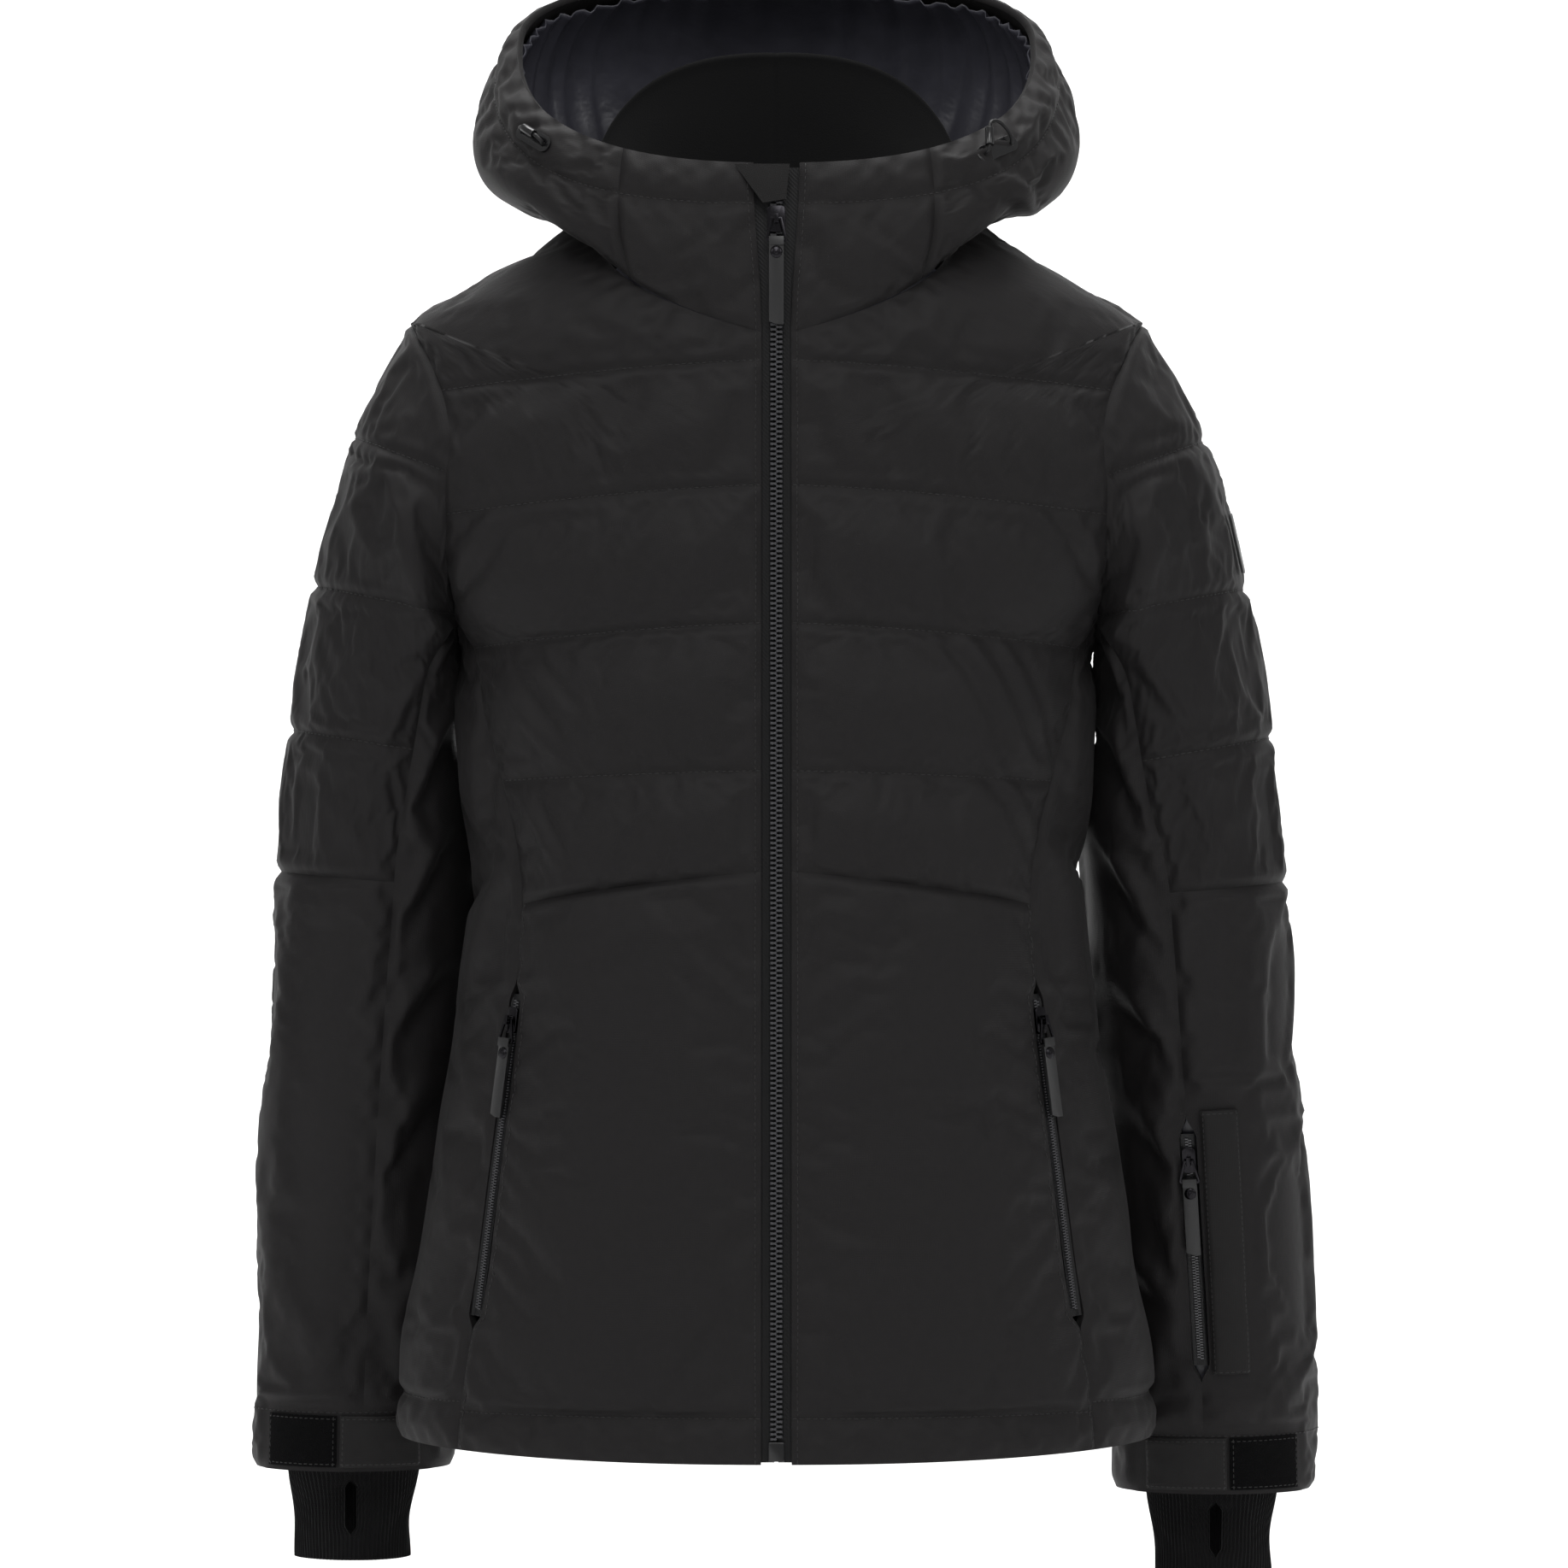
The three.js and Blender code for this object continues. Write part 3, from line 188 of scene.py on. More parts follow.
def mesh_of(name, points, faces, uv=None, sharp=None, smooth_faces=True):
    """An object from arrays of points in metres and faces, with a cloth map given for each point."""
    mesh = bpy.data.meshes.new(name)
    faces = [faces] if isinstance(faces, np.ndarray) else faces
    sizes = np.concatenate([np.full(len(f), f.shape[1]) for f in faces])
    loops = np.concatenate([f.ravel() for f in faces]).astype(np.int32)
    mesh.vertices.add(len(points))
    mesh.vertices.foreach_set("co", np.asarray(points, np.float32).ravel())
    mesh.loops.add(len(loops))
    mesh.loops.foreach_set("vertex_index", loops)
    mesh.polygons.add(len(sizes))
    mesh.polygons.foreach_set("loop_start", np.concatenate([[0], np.cumsum(sizes)[:-1]]).astype(np.int32))
    mesh.polygons.foreach_set("use_smooth", np.full(len(sizes), smooth_faces))
    mesh.update(calc_edges=True)
    if uv is not None:
        layer = mesh.uv_layers.new(name="cloth")
        layer.data.foreach_set("uv", np.asarray(uv, np.float32)[loops].ravel())
    if sharp is not None:
        ends = np.empty(len(mesh.edges) * 2, np.int32)
        mesh.edges.foreach_get("vertices", ends)
        marked = sharp[ends[::2]] & (sharp[ends[::2]] == sharp[ends[1::2]])
        mesh.attributes.new("sharp_edge", "BOOLEAN", "EDGE").data.foreach_set("value", marked > 0)
    mesh.validate()
    piece = bpy.data.objects.new(name, mesh)
    bpy.context.scene.collection.objects.link(piece)
    return piece


def arc_map(points):
    """Distances across and along a grid of points in metres, summed from its middle lines."""
    across = np.linalg.norm(np.diff(points, axis=1), axis=-1)
    along = np.linalg.norm(np.diff(points, axis=0), axis=-1)
    u = np.concatenate([np.zeros((len(points), 1)), np.cumsum(across, 1)], 1)
    v = np.concatenate([np.zeros((1, points.shape[1])), np.cumsum(along, 0)], 0)
    return np.stack([u - u[:, u.shape[1] // 2 : u.shape[1] // 2 + 1], v], -1)


def slab(name, outer, inner, flip=False):
    """A closed panel: the outer grid, the inner grid turned round, and a wall round their edges."""
    rows, columns = outer.shape[:2]
    n = rows * columns
    number = np.arange(n).reshape(rows, columns)
    rim = np.concatenate([number[0], number[1:, -1], number[-1, -2::-1], number[-2:0:-1, 0]])
    nxt = np.roll(rim, -1)
    wall = np.stack([nxt, rim, rim + n, nxt + n], -1)
    face = np.concatenate([quads(rows, columns), quads(rows, columns, n)[:, ::-1], wall])
    if flip:
        face = face[:, ::-1]
    points = np.concatenate([outer.reshape(-1, 3), inner.reshape(-1, 3)])
    uv = np.concatenate([arc_map(outer).reshape(-1, 2)] * 2)
    sharp = np.zeros(2 * n, int)
    sharp[rim], sharp[rim + n] = 1, 2
    return mesh_of(name, points, face, uv, sharp)


print("helpers ready")

# %% [markdown]
# ## The cloth and trim materials
# Each finish starts from the real stuff: a matt polyester shell, an acetate satin lining, brushed
# tricot, stretch knit, hook-and-loop pile, woven zip tape, moulded acetal, dark nickel on zinc, and soft
# moulded rubber. Weaves follow the panel's own map, which is in metres, so a thread keeps its size.

# %% Nodes and colours
def linear(text):
    """sRGB hex to linear red, green, blue and 1: ((c + 0.055) / 1.055) ^ 2.4 above the dark foot."""
    part = [int(text[i : i + 2], 16) / 255 for i in (1, 3, 5)]
    return tuple(c / 12.92 if c <= 0.04045 else ((c + 0.055) / 1.055) ** 2.4 for c in part) + (1,)


def add_node(tree, kind, inputs=None, **settings):
    """A node with its settings; inputs maps a socket to a number, or to another node's output."""
    made = tree.nodes.new("ShaderNode" + kind)
    for key, value in settings.items():
        setattr(made, key, value)
    for key, value in (inputs or {}).items():
        if isinstance(value, bpy.types.NodeSocket):
            tree.links.new(value, made.inputs[key])
        else:
            made.inputs[key].default_value = value
    return made


def new_finish(name, roughness, ior=1.5, **fixed):
    """A material with one main shader; returns it with its tree, shader and cloth map."""
    material = bpy.data.materials.new(name)
    material.use_nodes = True
    tree = material.node_tree
    shader = tree.nodes["Principled BSDF"]
    shader.inputs["Roughness"].default_value = roughness
    shader.inputs["IOR"].default_value = ior
    for key, value in fixed.items():
        shader.inputs[key.replace("_", " ")].default_value = value
    place = add_node(tree, "TexCoord")
    return material, tree, shader, place


def tinted(tree, shader, amount, dark, light):
    """Colour that runs from dark to light with an amount from 0 to 1."""
    ramp = add_node(tree, "ValToRGB", {"Fac": amount})
    ramp.color_ramp.elements[0].color = linear(dark)
    ramp.color_ramp.elements[1].color = linear(light)
    tree.links.new(ramp.outputs["Color"], shader.inputs["Base Color"])
    return ramp


def bumped(tree, shader, layers):
    """Bumps laid one on the next; each layer is (height socket, depth in metres, strength)."""
    normal = None
    for height, depth, strength in layers:
        inputs = {"Height": height, "Distance": depth, "Strength": strength}
        if normal:
            inputs["Normal"] = normal
        normal = add_node(tree, "Bump", inputs).outputs["Normal"]
    tree.links.new(normal, shader.inputs["Normal"])


def threads(tree, place, spacing, direction):
    """Bands across the cloth map: a sine wave's period is 0.314 divided by its scale."""
    wave = add_node(tree, "TexWave", {"Vector": place.outputs["UV"], "Scale": 0.314 / spacing,
                                      "Distortion": 0.6, "Detail": 1.0}, bands_direction=direction)
    return wave.outputs["Fac"]


def speckle(tree, place, size, detail=3.0, coordinates="UV"):
    """Cloudy noise with patches of about the given size in metres."""
    noise = add_node(tree, "TexNoise", {"Vector": place.outputs[coordinates], "Scale": 1 / size,
                                        "Detail": detail, "Roughness": 0.6})
    return noise.outputs["Fac"]


# %% Shell cloth: a plain polyester weave with a matt, faintly fuzzy face
# The threads are 0.3 mm apart, too fine to show, so they are drawn 0.9 mm apart. Soft crinkles of about
# 14 mm come from the wadding behind.
def woven_shell(name, dark, light, crinkle):
    material, tree, shader, place = new_finish(name, 0.62, Sheen_Weight=0.02, Sheen_Roughness=0.4,
                                               Specular_IOR_Level=0.2)
    tinted(tree, shader, speckle(tree, place, 0.006, 5.0), dark, light)
    bumped(tree, shader, [
        (threads(tree, place, 0.0009, "X"), 0.00006, 0.5),
        (threads(tree, place, 0.0009, "Y"), 0.00006, 0.5),
        (speckle(tree, place, 0.014), 0.0011, crinkle),
    ])
    return material


SHELL_CLOTH = woven_shell("woven_polyester_shell", "#111010", "#181617", 0.35)
TRIM_CLOTH = woven_shell("woven_polyester_trim", "#0f0e0e", "#151414", 0.12)

# %% Lining, facing, knit, pile and tape
def satin_lining():
    """Acetate satin: long floats make it smooth, with a soft bright sheen along each gather."""
    material, tree, shader, place = new_finish("acetate_satin_lining", 0.32, 1.47, Anisotropic=0.4)
    tinted(tree, shader, speckle(tree, place, 0.02), "#303036", "#414149")
    bumped(tree, shader, [(speckle(tree, place, 0.011, 2.0), 0.0012, 0.4)])
    return material


def brushed_facing():
    """Polyester tricot with its loops raised: no highlight at all, only a haze at the edges."""
    material, tree, shader, place = new_finish("brushed_tricot", 0.95, Sheen_Weight=0.05, Sheen_Roughness=0.6,
                                               Specular_IOR_Level=0.1)
    tinted(tree, shader, speckle(tree, place, 0.0012, 4.0), "#050505", "#0b0b0c")
    bumped(tree, shader, [(speckle(tree, place, 0.0009, 2.0), 0.0003, 0.6)])
    return material


def stretch_knit():
    """Rib knit with elastane: matt, with fine ribs that run along the wrist."""
    material, tree, shader, place = new_finish("rib_knit", 0.88, Sheen_Weight=0.04, Sheen_Roughness=0.5,
                                               Specular_IOR_Level=0.12)
    tinted(tree, shader, speckle(tree, place, 0.0016, 4.0), "#080808", "#0f0f10")
    bumped(tree, shader, [(threads(tree, place, 0.0012, "X"), 0.0003, 0.5),
                          (threads(tree, place, 0.0009, "Y"), 0.0001, 0.4)])
    return material


def loop_pile():
    """Nylon loops under a hook tape: a dense dark fuzz of loops about 0.8 mm across."""
    material, tree, shader, place = new_finish("nylon_loop_pile", 1.0, 1.53, Sheen_Weight=0.01,
                                               Sheen_Roughness=0.7, Specular_IOR_Level=0.04)
    tinted(tree, shader, speckle(tree, place, 0.0009, 5.0), "#030303", "#0c0c0d")
    bumped(tree, shader, [(speckle(tree, place, 0.0008, 3.0), 0.0009, 0.9)])
    return material


def zip_tape_cloth():
    """Polyester zip tape, woven tight and heat set, so it shines more than the shell."""
    material, tree, shader, place = new_finish("woven_zip_tape", 0.42, Specular_IOR_Level=0.25)
    tinted(tree, shader, threads(tree, place, 0.0011, "X"), "#0e0e0f", "#171718")
    bumped(tree, shader, [(threads(tree, place, 0.0011, "DIAGONAL"), 0.0001, 0.5)])
    return material


SATIN = satin_lining()
BRUSHED = brushed_facing()
KNIT = stretch_knit()
PILE = loop_pile()
TAPE_CLOTH = zip_tape_cloth()

# %% Moulded acetal, dark nickel, soft rubber and sewing thread
def hard_finish(name, dark, light, roughness, ior, grain, depth, **fixed):
    """A hard or rubbery surface whose grain is read in the frame's own metres."""
    material, tree, shader, place = new_finish(name, roughness, ior, **fixed)
    cloud = speckle(tree, place, grain, 3.0, "Object")
    tinted(tree, shader, cloud, dark, light)
    bumped(tree, shader, [(cloud, depth, 0.3)])
    return material


# The teeth are the same black acetal as the moulded pieces below; their lighter colour is a painted highlight for the
# glints along the chain.
ACETAL_TEETH_PAINTED_HIGHLIGHT = hard_finish("acetal_teeth_painted_highlight", "#303032", "#424245", 0.14, 1.6, 0.0007, 0.00002)
ACETAL = hard_finish("moulded_acetal", "#0c0c0d", "#141415", 0.2, 1.48, 0.003, 0.00002)
NICKEL = hard_finish("black_nickel_zinc", "#222123", "#2e2d30", 0.24, 1.5, 0.002, 0.00001, Metallic=1.0)
RUBBER = hard_finish("soft_moulded_rubber", "#0d0d0e", "#141415", 0.42, 1.52, 0.0012, 0.00008)
THREAD = hard_finish("polyester_thread", "#121111", "#1a1919", 0.5, 1.5, 0.0008, 0.0001)
BACKDROP = hard_finish("painted_sweep", "#f1f1f1", "#f4f4f4", 0.9, 1.5, 0.5, 0.0001)
print(len(bpy.data.materials), "materials")

# %% The sweep behind and under the jacket
def sweep_profile(y):
    """Flat in front, then a quarter circle up to a wall behind."""
    t = np.clip((y - 1.2) / 1.2, 0, 1) * math.pi / 2
    return np.where(y < 1.2, y, 1.2 + 1.2 * np.sin(t)), -0.845 + 1.2 * (1 - np.cos(t))


run = np.concatenate([np.linspace(-6, 1.1, 8), np.linspace(1.2, 2.4, 20)])
floor_y, floor_z = sweep_profile(run)
floor_y, floor_z = np.append(floor_y, 2.4), np.append(floor_z, 4.5)
wide = np.linspace(-7, 7, 9)
floor_points = np.stack(np.broadcast_arrays(wide[None, :], floor_y[:, None], floor_z[:, None]), -1)
floor = mesh_of("studio_sweep", floor_points.reshape(-1, 3), quads(len(floor_y), len(wide)))
floor.data.materials.append(BACKDROP)


def finish(piece, material, body="root", replaces=()):
    """Gives a piece its material and slot, and joins it to the body that it moves with."""
    piece.data.materials.clear()
    piece.data.materials.append(material)
    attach(piece, body)
    if replaces:
        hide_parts(*replaces)
    return piece


print("sweep", floor.name)

# %% [markdown]
# ## The body as one smooth surface
# Chest, skirt, sides and back all lie on one round surface: a rounded oval at every height, whose half
# width, depth and roundness change from hem to neck. A seam is a line on it, given as an angle round
# the body and a height, so two panels that share a seam meet along it exactly.

# %% The body's surface
HEM, WAIST, WAIST_PEAK = 12.0, 302.0, 18.0
SHOULDER, ARMHOLE_DEEP, ARMHOLE_BROAD = 611.0, 166.0, 152.0
UNDERARM, NECK, ARM_MIDDLE = SHOULDER - ARMHOLE_DEEP, SHOULDER + 58.0, SHOULDER - ARMHOLE_DEEP / 2
COLLAR_BASE = NECK - 70.0
SHOULDER_HALF, ARM_ROUND, NECK_HALF = 196.0, 35.0, 109.0
SHELL = 6.0

half_width = through([
    (HEM, 202), (123, 184), (WAIST, 160), (400, 167), (UNDERARM, 170),
    (UNDERARM + 0.3 * ARMHOLE_DEEP, SHOULDER_HALF + 0.4 * ARM_ROUND),
    (UNDERARM + 0.51 * ARMHOLE_DEEP, SHOULDER_HALF + ARM_ROUND),
    (UNDERARM + 0.8 * ARMHOLE_DEEP, SHOULDER_HALF + 0.75 * ARM_ROUND),
    (SHOULDER, SHOULDER_HALF), (NECK, NECK_HALF),
])
back_depth = through([(HEM, 102), (WAIST, 90), (ARM_MIDDLE, 106), (SHOULDER, 95), (NECK, 74)])
roundness = through([(HEM, 2.3), (UNDERARM, 2.4), (SHOULDER, 1.75), (NECK, 1.7)])


def front_depth(z):
    """The zip leans back by 23 mm in 700."""
    return 128 - 23 / 700 * z


def ring(angle, half, front, back, power):
    """A rounded oval: x = half sin^(2/power), y = -depth cos^(2/power), with the signs kept."""
    s, c = np.sin(np.radians(angle)), np.cos(np.radians(angle))
    depth = np.where(c > 0, front, back)
    return np.sign(s) * half * np.abs(s) ** (2 / power), -np.sign(c) * depth * np.abs(c) ** (2 / power)


def body_point(angle, z):
    """The body's surface: the oval at a height, 0 degrees at the zip and 90 at the wearer's left."""
    angle, z = np.broadcast_arrays(np.asarray(angle, float), np.asarray(z, float))
    x, y = ring(angle, half_width(z), front_depth(z), back_depth(z), roundness(z))
    return np.stack([x, y, z], -1)


# %% Seams on the body, each as (angle, height)
PRINCESS, SIDE_BACK, UNDER_TURN = 54.0, 118.0, 155.0
ZIP_OPENING = 16.0
POCKET_BOTTOM, POCKET_TOP, POCKET_OPENING = 86.0, 255.0, 9.2


def zip_line(z):
    share = ZIP_OPENING / 2 / half_width(z)
    return np.degrees(np.arcsin(share ** (roundness(z) / 2))), z


def armhole_at(turn):
    """The point of the armhole's ring at a turn: 0 at the shoulder, 90 behind, -90 in front."""
    z = ARM_MIDDLE + ARMHOLE_DEEP / 2 * np.cos(np.radians(turn))
    y = ARMHOLE_BROAD / 2 * np.sin(np.radians(turn))
    depth = np.where(y < 0, front_depth(z), back_depth(z))
    angle = np.degrees(np.arccos(np.minimum(1, np.abs(y) / depth) ** (roundness(z) / 2)))
    return np.where(y < 0, angle, 180 - angle), z


def hem_height(angle):
    return HEM + 6 * np.sin(np.radians(angle)) ** 2


def waist_height(angle):
    return WAIST + WAIST_PEAK * (1 - np.minimum(1, np.minimum(angle, 360 - angle) / PRINCESS))


def neck_height(angle):
    rise = np.abs(np.sin(np.radians(angle))) ** 1.3
    return COLLAR_BASE + 70 * np.where((angle < 90) | (angle > 270), rise, 1)


def side_seam(low, turn):
    """From the waist up to the armhole; the angle eases over as the height's power 1.6."""
    def curve(v):
        top = armhole_at(np.array(float(turn)))
        return mix(low, top[0], v ** 1.6), mix(WAIST, top[1], v)
    return curve


MM_PER_DEGREE = float(np.linalg.norm(body_point(PRINCESS + 0.5, 170) - body_point(PRINCESS - 0.5, 170)))


def lower_seam(angle, open_by=0):
    """Straight down the skirt; open_by moves it aside by that many mm where the pocket's zip shows."""
    def curve(v):
        z = mix(hem_height(angle), waist_height(angle), v)
        near = smooth(POCKET_BOTTOM - 8, POCKET_BOTTOM + 2, z) * (1 - smooth(POCKET_TOP - 4, POCKET_TOP + 8, z))
        return angle + open_by * near / MM_PER_DEGREE, z
    return curve


def arm_arc(start, stop):
    return lambda v: armhole_at(mix(start, stop, v))


def edge(start, stop, height):
    def curve(u):
        angle = mix(start, stop, u)
        return angle, height(angle) + 0 * angle
    return curve


def shoulder_seam(v):
    return 90 + 0 * v, mix(SHOULDER, NECK, v)


princess_upper = side_seam(PRINCESS, -UNDER_TURN)
back_upper_seam = side_seam(SIDE_BACK, UNDER_TURN)
print("body", np.round(body_point(90, WAIST), 1))

# %% [markdown]
# ## The sleeves and the hood as surfaces
# A sleeve is a row of ovals from the shoulder to the cuff, hanging a little behind the body, that starts
# exactly on the armhole. The hood rises from the neckline to its rim on a curve that bows out over the
# shoulders and falls into a pouch at the back.

# %% The sleeve's surface
STEPS = 9
DOWN = np.array([(0, 0, 0), (0.083, 0.038, 0.29), (0.175, 0.089, 0.5), (0.277, 0.155, 0.64),
                 (0.366, 0.222, 0.74), (0.475, 0.302, 0.815), (0.61, 0.481, 0.87), (0.747, 0.665, 0.925),
                 (0.893, 0.86, 0.98), (1, 1, 1)])
SLEEVE_DROP, SLEEVE_SPREAD, SLEEVE_WIDE, SLEEVE_BACK = 617.0, 92.0, 108.0, 78.0
HANG_LOWER, HANG_OUTER = {"left": 12, "right": 0}, {"left": 4, "right": -3}
seam_turn = through([(0, UNDER_TURN), (2, 128), (4, 110), (5, 102), (STEPS, 98)])


def clear_of_body(inner, width, breadth, z):
    """How far behind the side line a section's middle has to be to clear the body by 3.5 mm."""
    turn = np.radians(np.arange(95, 181, 5))
    share = (inner + width / 2 * (1 + np.cos(turn))) / (half_width(z) + 3.5)
    n = roundness(z)
    y = (back_depth(z) + 3.5) * np.maximum(0, 1 - np.minimum(share, 1) ** n) ** (1 / n)
    return max(0, np.max(np.where(share < 1, y + breadth / 2 * np.sin(turn), 0)))


def sleeve_sections(word):
    """For each step down the sleeve: the section's middle, its reach to the outer line, its half breadth."""
    rows = []
    for i, (outer, inner, spread) in enumerate(DOWN):
        lower = HANG_LOWER[word] * outer
        x = SHOULDER_HALF + (SLEEVE_SPREAD + HANG_OUTER[word]) * spread
        outer_z = SHOULDER - SLEEVE_DROP * outer - lower
        inner_z = UNDERARM - (SLEEVE_DROP - ARMHOLE_DEEP) * inner - lower
        inner_x = float(half_width(inner_z)) + 3.5
        inner_x = 170 if i == 0 else max(inner_x, x - SLEEVE_WIDE) if i < 5 else x - SLEEVE_WIDE
        breadth = mix(mix(ARMHOLE_BROAD, 120, min(i / 5, 1)), 98, max(0, (i - 5) / (STEPS - 5)))
        behind = max(SLEEVE_BACK * outer, clear_of_body(inner_x, x - inner_x, breadth, inner_z))
        rows.append([(x + inner_x) / 2, behind, (outer_z + inner_z) / 2,
                     (x - inner_x) / 2, 0, (outer_z - inner_z) / 2, breadth / 2])
    return np.array(rows)


def sleeve_surface(word):
    """middle + reach cos(turn) + breadth sin(turn), drawn onto the armhole above step 1.5."""
    track = [through(list(enumerate(column)), True) for column in sleeve_sections(word).T]

    def oval(turn, down):
        c, s = np.cos(np.radians(turn)), np.sin(np.radians(turn))
        x, y, z, rx, ry, rz, b = [f(down) for f in track]
        return np.stack(np.broadcast_arrays(x + rx * c, y + ry * c + b * s, z + rz * c), -1)

    def surface(turn, down):
        turn, down = np.broadcast_arrays(np.asarray(turn, float), np.asarray(down, float))
        loop = body_point(*armhole_at((turn + 180) % 360 - 180))
        fade = (1 - np.clip(down / 1.5, 0, 1)) ** 2
        return oval(turn, down) + fade[..., None] * (loop - oval(turn, 0 * down))

    return surface


def sleeve_facing(surface):
    """The sleeve's own outward direction, turned into the body's close to the armhole."""
    def facing(turn, down):
        body = outward(body_point, *armhole_at((turn + 180) % 360 - 180))
        own = outward(surface, turn, down, -1)
        return unit(mix(own, body, 1 - smooth(0.1, 0.8, down)[..., None]))
    return facing


# %% The hood's surface
RIM_FRONT, RIM_SLOPE = COLLAR_BASE + 90.0, 0.64


def rim_point(angle):
    x, y = ring(angle, 140, front_depth(RIM_FRONT) + 12, 68, 2.4)
    y = y + 12
    return np.stack([x, y, RIM_FRONT + RIM_SLOPE * (y + front_depth(RIM_FRONT))], -1)


def hood_point(angle, rise):
    """A cubic Bezier from the neckline (rise 0) to the rim (rise 100) at each angle round the neck."""
    angle, rise = np.broadcast_arrays(np.asarray(angle, float), np.asarray(rise, float))
    s, c = np.sin(np.radians(angle)), np.cos(np.radians(angle))
    front, back, flank = np.maximum(c, 0) ** 2, np.minimum(c, 0) ** 2, s * s
    away = np.stack([s, -c, 0 * s], -1)
    start = body_point(angle, neck_height(np.minimum(np.abs(angle), 360 - np.abs(angle))))
    end = rim_point(angle)
    first = start + away * (46 * flank + 78 * back)[..., None]
    second = end + away * (0.74 * 46 * flank + 110 * back)[..., None]
    lean = 23 / 700 * 30 * front
    first = first + np.stack([0 * s, lean, 30 * front - 30 * back], -1)
    second = second - np.stack([0 * s, lean, 30 * front + 50 * flank + 15 * back], -1)
    t = np.clip(rise / 100, 0, 1)[..., None]
    return ((1 - t) ** 3 * start + 3 * t * (1 - t) ** 2 * first + 3 * t * t * (1 - t) * second + t ** 3 * end)


print("cuff", np.round(sleeve_surface("left")(0, 9), 1), "rim", np.round(rim_point(180.0), 1))

# %% [markdown]
# ## The elastic loops at the hood's rim
# An elastic cord comes out of one eye of an oval plate and goes back into the other, through a small
# barrel that grips it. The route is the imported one, run through with the same smooth curve, and the
# cord is a tube of its real 2 mm.

# %% Loop frames and routes
LOOP_ROUTES = {
    "right": (-1, 57, [(-9.8, 0.2, 0), (-9.8, -2.4, 0), (-9.8, -4.6, 0.6), (-7, -6.6, 1.4), (-5.2, -6.8, 1.5),
                       (5.2, -6.8, 1.5), (7, -6.6, 1.4), (9.8, -4.6, 0.6), (9.8, -2.4, 0), (9.8, 0.2, 0)]),
    "left": (1, 49, [(-9.8, 0.2, 0), (-9.8, -2.4, 0), (-9.8, -5, 0.4), (-8.6, -6.4, 1.6), (-7.6, -6.6, 3),
                     (-2.2, -6.6, 11), (1.5, -6.4, 13.6), (6, -6, 12.4), (9, -5.4, 7), (9.8, -4.4, 2),
                     (9.8, -2.4, 0), (9.8, 0.2, 0)]),
}


def plate_frame(side, angle, rise=88.0):
    """Origin on the hood and the axes along the plate, into the hood and towards the rim, in mm."""
    a, r = np.array([angle, angle]) + [-0.5, 0.5], np.array([rise, rise])
    low, high = hood_point(a, r)
    out = outward(hood_point, np.array(float(angle)), np.array(rise))
    x = unit(high - low)
    x, out = x * [side, 1, 1] * side, out * [side, 1, 1]
    up = unit(np.cross(x, -out))
    origin = hood_point(float(angle), rise) * [side, 1, 1] + 0.9 * out
    return origin, np.stack([x, np.cross(up, x), up])


def centripetal(points, per_span=5):
    """Catmull-Rom spans as cubic Hermites whose knots are the square roots of the gaps between points."""
    p = np.array(points, float)
    p = np.concatenate([[2 * p[0] - p[1]], p, [2 * p[-1] - p[-2]]])
    gap = np.sqrt(np.linalg.norm(np.diff(p, axis=0), axis=1))
    spans = []
    for i in range(1, len(p) - 2):
        d0, d1, d2 = gap[i - 1 : i + 2]
        t1 = ((p[i] - p[i - 1]) / d0 - (p[i + 1] - p[i - 1]) / (d0 + d1) + (p[i + 1] - p[i]) / d1) * d1
        t2 = ((p[i + 1] - p[i]) / d1 - (p[i + 2] - p[i]) / (d1 + d2) + (p[i + 2] - p[i + 1]) / d2) * d1
        t = np.linspace(0, 1, per_span, endpoint=False)[:, None]
        spans.append((2 * t**3 - 3 * t**2 + 1) * p[i] + (t**3 - 2 * t**2 + t) * t1
                     + (3 * t**2 - 2 * t**3) * p[i + 1] + (t**3 - t**2) * t2)
    return np.concatenate([*spans, p[-2:-1]])


def tube(name, path, radius, sides=12, ribs=0.0):
    """A closed tube: circles square to the path in a frame carried along it, with a fan at each end."""
    tangent = unit(np.gradient(path, axis=0))
    normal = np.zeros_like(path)
    normal[0] = unit(np.cross(tangent[0], [0.31, 0.52, 0.79]))
    for i in range(1, len(path)):
        normal[i] = unit(normal[i - 1] - tangent[i] * np.dot(normal[i - 1], tangent[i]))
    side = np.cross(tangent, normal)
    turn = np.linspace(0, 2 * math.pi, sides, endpoint=False)
    length = np.concatenate([[0], np.cumsum(np.linalg.norm(np.diff(path, axis=0), axis=1))])
    swell = radius * (1 + ribs * np.cos(3 * turn[None, :] + length[:, None] * 3500))
    circle = np.cos(turn)[None, :, None] * normal[:, None] + np.sin(turn)[None, :, None] * side[:, None]
    points = (path[:, None] + swell[..., None] * circle).reshape(-1, 3)
    n = len(path)
    face = quads(n, sides, wrap=True)
    ends = [np.stack([np.full(sides, n * sides + k), np.arange(sides) + row * sides,
                      (np.arange(sides) + 1) % sides + row * sides], -1) for k, row in ((0, 0), (1, n - 1))]
    ends[0] = ends[0][:, ::-1]
    uv = np.stack(np.broadcast_arrays(turn[None, :] * radius, length[:, None]), -1).reshape(-1, 2)
    points = np.concatenate([points, path[[0, -1]]])
    uv = np.concatenate([uv, [[0, 0], [0, length[-1]]]])
    return mesh_of(name, points, [face, *ends], uv)


